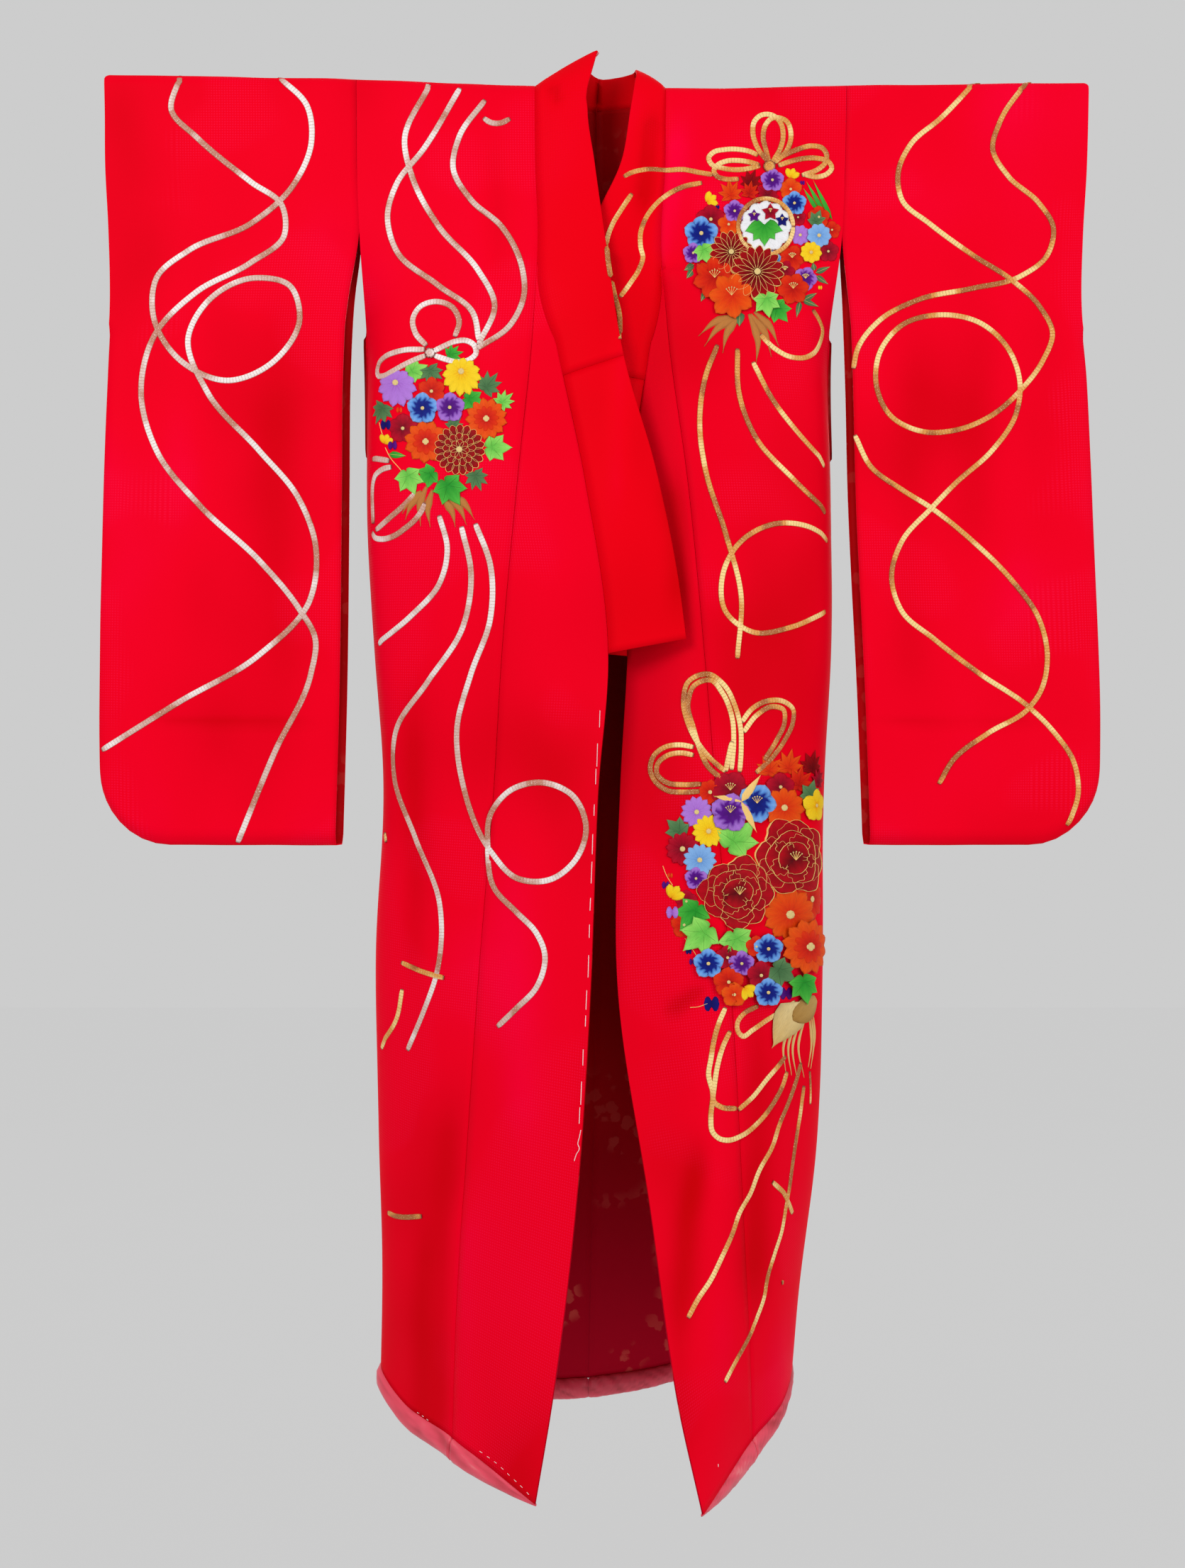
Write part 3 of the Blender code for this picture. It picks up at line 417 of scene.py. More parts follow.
def crease_distance(points, line):
    """Distance of chart points from a polyline, in centimetres, and how far along it they lie."""
    best = np.full(len(points), 1e9)
    share = np.zeros(len(points))
    for k, (a, b) in enumerate(zip(line, line[1:])):
        a, b = np.array(a), np.array(b)
        step = b - a
        t = np.clip(((points - a) @ step) / (step @ step), 0, 1)
        away = np.linalg.norm(points - (a + t[:, None] * step), axis=1)
        share = np.where(away < best, (k + t) / (len(line) - 1), share)
        best = np.minimum(best, away)
    return best, share


def chart_of(points, face):
    """Where points are seen on the chart from in front or behind, in centimetres."""
    eye = np.array(EYES[face])
    scale = -eye[1] / (points[:, 1] - eye[1])
    x = eye[0] + (points[:, 0] - eye[0]) * scale
    z = eye[2] + (points[:, 2] - eye[2]) * scale
    return np.stack((x * 100, -z * 100), axis=1)


def relief(points, normals):
    """How far the cloth stands off its plain form: listed creases laid in over a slow unevenness."""
    lift = np.zeros(len(points))
    for k, (x, y, z) in enumerate(points):
        lift[k] = 0.0012 * noise.noise(Vector((x * 6, y * 4, z * 3.2)))
        lift[k] += 0.0006 * noise.noise(Vector((x * 17 + 5, y * 9, z * 8)))
    for face in EYES:
        chart = chart_of(points, face)
        facing = np.clip(normals[:, 1] * (-1 if face == "front" else 1) * 2.5, 0, 1)
        for line, width, height in CREASES[face]:
            near, share = crease_distance(chart, line)
            dying = np.clip(np.minimum(share, 1 - share) * 4, 0, 1) ** 1.5
            lift += height * 0.001 * np.exp(-(near / width) ** 2) * facing * dying
    return lift


# the main creases: a line of the chart, the width in cm, and the height in mm of a soft ridge (+) or trough (-)
CREASES = {"front": (
    # beside the neck seams and down the wearer's left front
    (((8.1, 1.8), (7.4, 7.1), (7.1, 12.8), (6.2, 20.5)), 1.6, -5),
    (((11.4, 3.2), (10.5, 10.9), (9, 20.5), (8.1, 29.2)), 1.8, 3),
    (((3.7, 29.2), (3, 46.5), (2.6, 61.8)), 1.5, 2),
    (((9, 50.3), (11, 61.8), (11.4, 75.3)), 1.8, -2.5),
    (((15.6, 122.1), (12.2, 124.5), (8.6, 126.9)), 1.2, -3),
    (((14.9, 139.8), (13.8, 147.4), (12.3, 154.5), (11.6, 166.6), (11, 200.2)), 1.8, -2.4),
    (((21, 102.2), (21.5, 123.4), (22.2, 147.4), (21, 200.2)), 2.2, -2),
    (((15.3, 128.2), (16.7, 144.5), (17.2, 200.2)), 2.2, 1.6),
    # the wearer's right front
    (((-6.1, -0.3), (-5.5, 1.8), (-4.9, 3.5)), 0.9, -3),
    (((-14.5, 3.2), (-13.6, 17.6), (-13.1, 32.1)), 2, -1.8),
    (((-19.3, 133), (-20.5, 152.2), (-22.2, 209.8)), 2.2, -1.7),
    (((-23.2, 152.2), (-23.9, 166.6), (-24.5, 209.8)), 1.6, -1.6),
    (((-17.4, 147.4), (-18.4, 163.7), (-17.9, 209.8)), 2, 2),
    (((-11.6, 94.5), (-10.9, 123.4), (-9.2, 157)), 3, 1.6),
    (((-25.6, 75.3), (-24.6, 104.1), (-25.3, 133)), 2, -1.8),
    # sleeves: the fold they were stored in, and a slow wave down each
    (((-65, 86.6), (-49.1, 86.8), (-34.9, 87)), 0.7, -1.4),
    (((34.5, 86.6), (48.9, 87), (66.2, 86.8)), 0.7, -1.4),
    (((-56.8, 8), (-55.4, 36.9), (-57.8, 75.3)), 3.2, 1.6),
    (((-42.4, 17.6), (-42.9, 56.1), (-41.4, 94.5)), 3.4, -1.6),
    (((57.6, 12.8), (55.6, 46.5), (58.5, 84.9)), 3.2, 1.6),
    (((42.2, 22.4), (43.1, 60.9), (41.2, 96.4)), 3.4, -1.6),
), "back": (  # uneven in the same way
    (((-18, 8), (-17, 40), (-15, 85)), 2.4, -2.4),
    (((16, 6), (17, 50), (14, 95)), 2.6, -2.2),
    (((-9, 95), (-11, 130), (-9, 178)), 2.6, 2.2),
    (((10, 110), (12, 150), (10, 179)), 2.4, -2.6),
    (((-22, 120), (-23, 150), (-21, 176)), 2, -2.8),
    (((20, 100), (22, 140), (21, 176)), 2, 2.2),
    (((-60, 86.4), (-45, 86.7), (-34, 86.9)), 0.7, -1.4),
    (((60, 86.9), (45, 86.7), (35, 86.8)), 0.7, -1.4),
    (((-50, 10), (-52, 50), (-49, 98)), 3.2, 1.6),
    (((48, 12), (50, 55), (47, 98)), 3.2, -1.6),
)}


def front_name(side, row, col):
    return (side, "front", row, col)


def back_name(side, row, col):
    return (side, "back", row, col)


def name_fronts(surface, side):
    for row, drop in enumerate(DROPS):
        points = front_row(side, drop)
        first = SEAM_COL if row < TIP_ROW else 0
        for col in range(first, SIDE_COL + 1):
            surface.add(front_name(side, row, col), points[col])
        for col in range(first):
            surface.same(front_name(side, row, col), front_name(side, row, SEAM_COL))
        surface.dips.add(surface.names[front_name(side, row, SEAM_COL)])
        if row <= BAND_ROW:
            surface.dips.add(surface.names[front_name(side, row, 0)])
        if row >= SIDE_ROW:
            surface.dips.add(surface.names[front_name(side, row, SIDE_COL)])


def name_backs(surface, side):
    for row, drop in enumerate(DROPS):
        for col, point in enumerate(back_row(side, drop)):
            name = back_name(side, row, col)
            if row == 0:
                surface.same(name, front_name(side, 0, SIDE_COL - col))
            elif col == 0 and row >= SIDE_ROW:
                surface.same(name, front_name(side, row, SIDE_COL))
            elif col == CENTRE_COL and side == "left":
                surface.same(name, back_name("right", row, CENTRE_COL))
            else:
                surface.add(name, point)
            if col == CENTRE_COL:
                surface.dips.add(surface.names[name])


def cut_body(surface, side):
    down = [-drop for drop in DROPS]
    body = "body_" + side
    turned = side == "left"
    front_cols = range(SEAM_COL, SIDE_COL + 1)
    surface.grid(body, [[front_name(side, r, c) for c in front_cols] for r in range(LAST_ROW + 1)], down, turned)
    quarter = [[back_name(side, r, c) for c in range(NECK_COL + 1)] for r in range(LAST_ROW + 1)]
    surface.grid(body, quarter, DROPS, turned)
    nape = [[back_name(side, r, c) for c in range(NECK_COL, CENTRE_COL + 1)] for r in range(NECK_ROW, LAST_ROW + 1)]
    surface.grid(body, nape, DROPS[NECK_ROW:], turned)
    lower = range(TIP_ROW - 1, LAST_ROW + 1)
    surface.grid("overlap_" + side, [[front_name(side, r, c) for c in range(SEAM_COL + 1)] for r in lower],
                 down[TIP_ROW - 1:], turned)


def band_ends(surface):
    """Each seam point of the neckband with the free edge's point across from it."""
    pairs = []
    for row in range(BAND_ROW, -1, -1):
        pairs.append((front_name("right", row, 0), np.array(from_table(BAND_EDGE["right"], DROPS[row])[1:])))
    nape = [back_name("right", row, NECK_COL) for row in range(1, NECK_ROW + 1)]
    nape += [back_name("right", NECK_ROW, col) for col in range(NECK_COL + 1, CENTRE_COL + 1)]
    nape += [back_name("left", NECK_ROW, col) for col in range(CENTRE_COL - 1, NECK_COL - 1, -1)]
    nape += [back_name("left", row, NECK_COL) for row in range(NECK_ROW - 1, 0, -1)]
    run = lengths_along([surface.at(name) for name in nape])
    edge = [np.array(point) for point in NAPE_EDGE]
    for name, at in zip(nape, run):
        pairs.append((name, smooth(np.linspace(0.0, 1.0, len(edge)), edge, at / run[-1])))
    for row in range(BAND_ROW + 1):
        pairs.append((front_name("left", row, 0), np.array(from_table(BAND_EDGE["left"], DROPS[row])[1:])))
    return pairs


def cut_neckband(surface):
    net = []
    for station, (name, edge) in enumerate(band_ends(surface)):
        start = surface.at(name)
        height = max(0.0, min(1.0, 1 + start[2] / BAND_TURN))
        swell = BAND_SWELL_NECK * height
        bow = np.array((0.0, -BAND_SWELL_FRONT * (1 - height), swell))
        line = [name]
        for step in range(1, BAND_STEPS + 1):
            share = math.sin(math.pi / 2 * step / BAND_STEPS) ** 0.9
            spot = ("band", station, step)
            surface.add(spot, start + (edge - start) * share + bow * math.sin(math.pi * share))
            line.append(spot)
        net.append(line)
    collar = BAND_ROW - COLLAR_ROW
    lengths = [station * NET for station in range(len(net))]
    surface.grid("neckband_right", net[:collar + 1], lengths[:collar + 1])
    surface.grid("over_collar", net[collar:-collar], lengths[collar:-collar])
    surface.grid("neckband_left", net[-collar - 1:], lengths[-collar - 1:])
    surface.band = net


def sewn_body():
    surface = Surface()
    for side in SIDES:
        name_fronts(surface, side)
    for side in SIDES:
        name_backs(surface, side)
        cut_body(surface, side)
    cut_neckband(surface)
    surface.settle()
    return surface


def sleeve_surface(side):
    """A bag: open along the body and at the cuff, sewn shut below the cuff and along the bottom."""
    table = SLEEVE_EDGES[side]
    surface = Surface()
    upper = DROPS[:JOIN_ROW + 1]
    rows = upper + rows_through((SLEEVE_JOIN, CUFF, CUFF + CUFF_CLOSE, 0.99, SLEEVE_DROP - 0.015))[1:]
    rows += [SLEEVE_DROP - up for up in (0.010, 0.006, 0.003, 0.001, 0.0)]
    cuff_end = CUFF + CUFF_CLOSE
    flat = 1 - SLEEVE_CORNER / (table[0].outer - table[0].inner)
    stations = [(flat * step / 24, 0.0) for step in range(24)]
    for angle in (0, 12, 24, 36, 47, 57, 66, 74, 80, 85, 90):
        turn = math.radians(angle)
        stations.append((flat + (1 - flat) * math.sin(turn), SLEEVE_CORNER * (1 - math.cos(turn))))
    last = len(stations) - 1
    for station, (share, shortening) in enumerate(stations):
        drop_here = SLEEVE_DROP - shortening
        half_gap = SLEEVE_HALF_GAP_IN + (SLEEVE_HALF_GAP_OUT - SLEEVE_HALF_GAP_IN) * share
        for k, nominal in enumerate(rows):
            drop = nominal
            if nominal > cuff_end:
                drop = cuff_end + (nominal - cuff_end) * (drop_here - cuff_end) / (SLEEVE_DROP - cuff_end)
            edge = from_table(table, drop)
            below = min(1.0, max(0.0, (drop - SLEEVE_JOIN) / (CUFF - SLEEVE_JOIN)))
            gap = half_gap
            if drop <= SLEEVE_JOIN:
                seam_gap = -from_table(FRONT[side], drop).side_y
                gap += (seam_gap - gap) * max(0.0, 1 - share * 3)
            gap *= fold_share(drop) * min(1.0, math.sqrt(max(0.0, drop_here - drop) / SLEEVE_BOTTOM))
            if drop > CUFF:
                inset = (edge.outer - edge.inner) * (1 - share) / SLEEVE_EDGE
                near = min(1.0, (drop - CUFF) / CUFF_CLOSE)
                gap *= 1 - near * (1 - min(1.0, inset) ** 0.24)
            shut = k == 0 or k == len(rows) - 1 or (nominal >= cuff_end and station == last)
            for face, way in (("front", -1), ("back", 1)):
                start = edge.inner + (SLEEVE_LINING_SHOWS * below if face == "front" else 0.0)
                x = SIDES[side] * (start + (edge.outer - start) * share)
                x -= SIDES[side] * 0.007 * share * max(0.0, 1 - drop / 0.007) ** 2 * (share > 0.9)
                z = shoulder_rise(x, drop) - drop
                if shut and face == "back":
                    surface.same((face, station, k), ("front", station, k))
                else:
                    surface.add((face, station, k), (x, 0.0 if shut else way * gap, z))
    runs = np.linspace(0, 0.335, last + 1)
    for face in ("front", "back"):
        net = [[(face, s, k) for k in range(len(rows))] for s in range(last + 1)]
        surface.grid("sleeve_" + side, net, runs, (face == "front") == (side == "right"))
    surface.settle()
    surface.ring = [[("front", s, k) for s in range(last + 1)] + [("back", s, k) for s in range(last, -1, -1)]
                    for k in range(len(rows))]
    return surface


# ---- finishes --------------------------------------------------------------------------------------
def dye(red, green, blue):
    """A dye's colour on the usual 0 to 255 scale, as the shader wants it."""
    return tuple(c / 255 / 12.92 if c < 11 else ((c / 255 + 0.055) / 1.055) ** 2.4 for c in (red, green, blue))


class Wire:
    """A node's output, with arithmetic that adds Math nodes."""

    def __init__(self, finish, socket):
        self.finish = finish
        self.socket = socket

    def math(self, operation, *values):
        return self.finish.node("ShaderNodeMath", {"operation": operation}, dict(enumerate(values)))

    def __add__(self, other):
        return self.math("ADD", self, other)

    def __radd__(self, other):
        return self.math("ADD", other, self)

    def __sub__(self, other):
        return self.math("SUBTRACT", self, other)

    def __rsub__(self, other):
        return self.math("SUBTRACT", other, self)

    def __mul__(self, other):
        return self.math("MULTIPLY", self, other)

    def __rmul__(self, other):
        return self.math("MULTIPLY", other, self)

    def sine(self):
        return self.math("SINE", self)

    def size(self):
        return self.math("ABSOLUTE", self)

    def between(self, low, high):
        """0 below low, 1 above high, and soft in between."""
        return self.finish.node("ShaderNodeMapRange", {"interpolation_type": "SMOOTHSTEP"},
                                {"Value": self, "From Min": low, "From Max": high})


class FinishMaker:
    """A material with one shader, and one way to add any other node."""

    def __init__(self, name, roughness, metallic=0.0, gloss=0.5):
        self.material = bpy.data.materials.new(name)
        self.material.use_nodes = True
        self.nodes = self.material.node_tree.nodes
        self.links = self.material.node_tree.links
        self.shader = self.nodes["Principled BSDF"]
        self.shader.inputs["Roughness"].default_value = roughness
        self.shader.inputs["Metallic"].default_value = metallic
        self.shader.inputs["Specular IOR Level"].default_value = gloss

    def give(self, socket, value):
        if isinstance(value, Wire):
            self.links.new(value.socket, socket)
        else:
            socket.default_value = (*value, 1.0) if socket.type == "RGBA" and len(value) == 3 else value

    def node(self, kind, settings=None, values=None, out=0):
        made = self.nodes.new(kind)
        for name, setting in (settings or {}).items():
            setattr(made, name, setting)
        for name, value in (values or {}).items():
            self.give(made.inputs[name], value)
        return Wire(self, made.outputs[out])

    def cut(self):
        """Place on the cut cloth or along the thread, in metres: u, v."""
        place_on_cut = self.node("ShaderNodeUVMap", {"uv_map": "cut"})
        parts = self.node("ShaderNodeSeparateXYZ", None, {0: place_on_cut})
        return parts, Wire(self, parts.socket.node.outputs[1])

    def joined(self, x, y, z=0.0):
        return self.node("ShaderNodeCombineXYZ", None, {0: x, 1: y, 2: z})

    def cloud(self, vector, scale, detail=2.0):
        return self.node("ShaderNodeTexNoise", None, {"Vector": vector, "Scale": scale, "Detail": detail})

    def here(self):
        return self.node("ShaderNodeTexCoord", None, None, 3)

    def mixed(self, share, a, b):
        mixer = self.nodes.new("ShaderNodeMix")
        mixer.data_type = "RGBA"
        self.give(mixer.inputs[0], share)
        self.give(mixer.inputs[6], a)
        self.give(mixer.inputs[7], b)
        return Wire(self, mixer.outputs[2])

    def tone(self, name, kind="FLOAT"):
        """An attribute of the mesh: its value, or its colour."""
        return self.node("ShaderNodeAttribute", {"attribute_name": name}, None, 2 if kind == "FLOAT" else 0)

    def finish(self, colour, bump=None, distance=0.0005, strength=0.5, roughness=None):
        self.give(self.shader.inputs["Base Color"], colour)
        if roughness is not None:
            self.give(self.shader.inputs["Roughness"], roughness)
        if bump is not None:
            normal = self.node("ShaderNodeBump", None, {"Height": bump, "Distance": distance, "Strength": strength})
            self.give(self.shader.inputs["Normal"], normal)
        return self.material


def figured_silk(name, painted_shade_dye, plain, painted_lit_dye, roughness, gloss, figure_dye=None):
    """Silk with a small woven diaper that shows in patches, with painted shade in its folds and painted light on
    its ridges.
    """
    make = FinishMaker(name, roughness, 0.0, gloss)
    u, v = make.cut()
    here = make.here()
    weave = make.cloud(make.joined(u * 1500, v * 500), 1.0, 1.0)
    lattice = ((u + v) * 900).sine() * ((u - v) * 900).sine()
    patch = make.cloud(here, 5.0, 1.0).between(0.52, 0.60)
    figure = lattice.between(0.15, 0.5) * patch
    slow = make.cloud(here, 2.6, 2.0)
    # painted light and shade: crease height and a slow random unevenness mix the shaded, plain and lit copies of
    # the red
    tone = make.tone("fold") * 0.24 + 0.5 + (slow - 0.5) * 0.9
    colour = make.mixed(tone.between(0.1, 0.55), painted_shade_dye, plain)
    colour = make.mixed(tone.between(0.5, 0.95), colour, painted_lit_dye)
    colour = make.mixed(figure * 0.22, colour, figure_dye or painted_lit_dye)
    return make.finish(colour, weave * 0.35 + figure * 0.5, 0.0003, 0.35, roughness - figure * 0.12)


def lining_silk(name):
    """Dark red lining with scattered woven flecks of pale rose and gold, thickest towards the hem."""
    make = FinishMaker(name, 0.5, 0.0, 0.03)
    u, v = make.cut()
    here = make.here()
    weave = make.cloud(make.joined(u * 1400, v * 600), 1.0, 1.0)
    low = v.size().between(1.25, 1.72)
    sprig = make.node("ShaderNodeTexVoronoi", {"feature": "F1"}, {"Vector": here, "Scale": 46.0})
    veil = make.cloud(here, 90.0, 3.0)
    petals = (0.16 - sprig + veil * 0.62).between(0.0, 0.10) * make.cloud(here, 9.0, 1.0).between(0.50, 0.60)
    slow = make.cloud(here, 3.0, 2.0)
    ground = make.mixed(slow.between(0.35, 0.65), dye(168, 1, 6), dye(192, 2, 14))
    ground = make.mixed(low, ground, dye(190, 4, 40))
    colour = make.mixed(petals * (low * 0.45 + 0.12), ground, dye(226, 96, 84))
    return make.finish(colour, weave * 0.4 + petals * 0.6, 0.0004, 0.4)


def rose_satin(name):
    """Rose satin drawn over the hem wadding: glossy across, with fine lines along its puckers, painted shade in
    their troughs and a painted highlight on their crests.
    """
    make = FinishMaker(name, 0.34, 0.0, 0.45)
    u, v = make.cut()
    slow = make.cloud(make.here(), 14.0, 3.0)
    threads = make.cloud(make.joined(u * 260, v * 2600), 1.0, 2.0)
    # painted shade and highlight: the pucker tone, over a slow random unevenness, mixes dark rose, rose and a pale
    # highlight pink
    tone = make.tone("fold") * 0.4 + 0.62 + (slow - 0.5) * 0.6
    colour = make.mixed(tone.between(0.2, 0.8), dye(176, 36, 50), dye(236, 72, 96))
    colour = make.mixed(tone.between(0.75, 1.1), colour, dye(240, 128, 132))
    return make.finish(colour, threads, 0.0003, 0.35)


def couched_metal(name, pale, plain, dark, metallic, glint_dye):
    """Foil-wrapped threads laid side by side and held by small stitches, brighter and duller in stretches, with
    painted glints on the foil and painted shade along the edges where the cord meets the cloth.
    """
    make = FinishMaker(name, 0.42, metallic, 0.5)
    u, v = make.cut()
    here = make.here()
    stretch = make.cloud(here, 17.0, 2.0)
    foil = make.cloud(make.joined(u * 1100, v * 420), 1.0, 2.0)
    colour = make.mixed(stretch.between(0.40, 0.50), pale, plain)
    colour = make.mixed(stretch.between(0.52, 0.60) * 0.9, colour, dark)
    # painted glints: near-white flecks on the foil
    colour = make.mixed(foil.between(0.56, 0.72) * 0.75, colour, glint_dye)
    held = ((v * 1500).sine() * 0.5 + 0.5).between(0.86, 0.98) * foil.between(0.40, 0.5)
    colour = make.mixed(held * 0.55, colour, dark)
    # painted shade along the cord's edges and ends, where it meets the cloth
    rim = make.tone("rim")
    colour = make.mixed(rim.between(0.3, 1.0) * 0.9, colour, dye(110, 14, 10))
    return make.finish(colour, foil - held * 0.8, 0.0004, 0.55)


def floss(name):
    """Silk floss in satin stitch: the dyed colour of each petal, streaked along its thread, with painted shade
    darkening its rim.
    """
    make = FinishMaker(name, 0.46, 0.0, 0.08)
    u, v = make.cut()
    strands = make.cloud(make.joined(u * 1500, v * 130), 1.0, 2.0)
    dyed = make.tone("dye", "COLOUR")
    shade = make.mixed(0.5, dyed, dye(60, 0, 4))
    colour = make.mixed(strands.between(0.62, 0.30) * 0.34, dyed, shade)
    # painted shade at the petal's rim, where petals meet
    colour = make.mixed(make.tone("rim") * 0.75, colour, shade)
    return make.finish(colour, strands, 0.0005, 0.6)


def plain_thread(name, tint, roughness):
    make = FinishMaker(name, roughness, 0.0, 0.3)
    u, v = make.cut()
    ply = ((u * 2200 + v * 1900).sine() * 0.5 + 0.5)
    colour = make.mixed(make.cloud(make.here(), 60.0) * 0.5, tint, tuple(c * 0.72 for c in tint))
    return make.finish(colour, ply, 0.0004, 0.5)


# each silk: its painted shade dye, its plain dye, its painted light dye, then for the scarlet the figure's dye
SCARLET = figured_silk("scarlet_silk", dye(200, 0, 6), dye(240, 0, 32), dye(250, 0, 58), 0.5, 0.012,
                       dye(255, 30, 84))
COLLAR_SILK = figured_silk("collar_silk", dye(200, 0, 4), dye(236, 0, 20), dye(246, 0, 42), 0.5, 0.012)
LINING_SILK = lining_silk("madder_lining")
ROSE = rose_satin("rose_satin")
# the last dye of each metal is its painted glint
GOLD = couched_metal("couched_gold", dye(248, 214, 140), dye(222, 150, 62), dye(164, 84, 22), 0.12,
                     dye(255, 236, 176))
SILVER = couched_metal("couched_silver", dye(238, 226, 222), dye(212, 176, 164), dye(182, 112, 84), 0.08,
                       dye(255, 246, 240))
FLOSS = floss("flower_floss")
WHITE = plain_thread("white_basting", dye(240, 226, 226), 0.7)
GOLD_LINE = plain_thread("gold_outline", dye(250, 206, 120), 0.42)


# ---- cloth walls -----------------------------------------------------------------------------------
def inward_moves(faces, spots, normals):
    """How each point on a piece's rim steps back from its seam by half the gap."""
    owners = {}
    for loop in faces:
        for a, b in zip(loop, loop[1:] + loop[:1]):
            owners.setdefault((min(a, b), max(a, b)), []).append(loop)
    turns = {}
    for (a, b), loops in owners.items():
        if len(loops) == 1:
            middle = sum(spots[i] for i in loops[0]) / len(loops[0])
            inward = np.cross(normals[a] + normals[b], spots[b] - spots[a])
            inward /= max(1e-9, np.linalg.norm(inward))
            if inward @ (middle - spots[a]) < 0:
                inward = -inward
            turns.setdefault(a, []).append(inward)
            turns.setdefault(b, []).append(inward)
    moves = {}
    for i, found in turns.items():
        first, second = found[0], found[-1]
        moves[i] = (first + second) * (SEAM_GAP / 2 / (1 + max(float(first @ second), -0.5)))
    return moves


def finished_mesh(name, points, faces, uvs, finishes, slots=None, shade_tones=None, dyes=None, edge_shades=None):
    """An object from plain lists, with its place on the cut, its painted crease and edge shade, and its dyes as
    attributes.
    """
    mesh = bpy.data.meshes.new(name)
    mesh.from_pydata([tuple(p) for p in points], [], faces)
    layer = mesh.uv_layers.new(name="cut")
    layer.data.foreach_set("uv", np.array([value for uv in uvs for corner in uv for value in corner], np.float32))
    for title, values in (("fold", shade_tones), ("rim", edge_shades)):
        if values is not None:
            mesh.attributes.new(title, "FLOAT", "POINT").data.foreach_set("value", np.array(values, np.float32))
    if dyes is not None:
        flat = np.ones((len(dyes), 4), np.float32)
        flat[:, :3] = dyes
        mesh.attributes.new("dye", "FLOAT_COLOR", "POINT").data.foreach_set("color", flat.ravel())
    for finish in finishes:
        mesh.materials.append(finish)
    if slots is not None:
        mesh.polygons.foreach_set("material_index", np.array(slots, np.int32))
    mesh.validate()
    mesh.shade_smooth()
    thing = bpy.data.objects.new(name, mesh)
    bpy.context.scene.collection.objects.link(thing)
    return thing


def rounding(surface):
    """How far the faces of the folded band draw in at its free edge."""
    drawn = {}
    for line in surface.band:
        for back, depth in enumerate((0.0011, 0.0005, 0.0002)):
            drawn[surface.names[line[-1 - back]]] = depth
    return drawn


def cloth_wall(name, surface, piece, outer, inner, finish, drawn=None, gap=True):
    """A closed wall of cloth over a piece of the surface, between two depths below it."""
    loops = surface.faces[piece]
    moves = inward_moves(loops, surface.spots, surface.normals) if gap else {}
    used = sorted({i for loop in loops for i in loop})
    index = {i: k for k, i in enumerate(used)}
    count = len(used)
    points, shade_tones = [], []
    for depth, way in ((outer, 1), (inner, -1)):
        for i in used:
            pull = (drawn or {}).get(i, 0.0) * way
            points.append(surface.spots[i] + moves.get(i, 0.0) - surface.normals[i] * (depth + pull))
            # painted shade and light: the outer face takes them from its crease height, the inner face is painted
            # in shade
            shade_tones.append(float(np.clip(surface.folds[i] / CREASE_FULL_SHADE, -1, 1)) if way > 0 else -0.4)
    faces, uvs, edges = [], [], {}
    for loop, cut in zip(loops, surface.cuts[piece]):
        order = [index[i] for i in loop]
        faces += [order, [k + count for k in reversed(order)]]
        uvs += [cut, cut[::-1]]
        for k, a in enumerate(order):
            b = order[(k + 1) % len(order)]
            if edges.pop((b, a), None) is None:
                edges[(a, b)] = (cut[k], cut[(k + 1) % len(order)])
    for (a, b), (cut_a, cut_b) in edges.items():
        faces.append([b, a, a + count, b + count])
        uvs.append([cut_b, cut_a, cut_a, cut_b])
    return finished_mesh(name, points, faces, uvs, [finish], None, shade_tones)


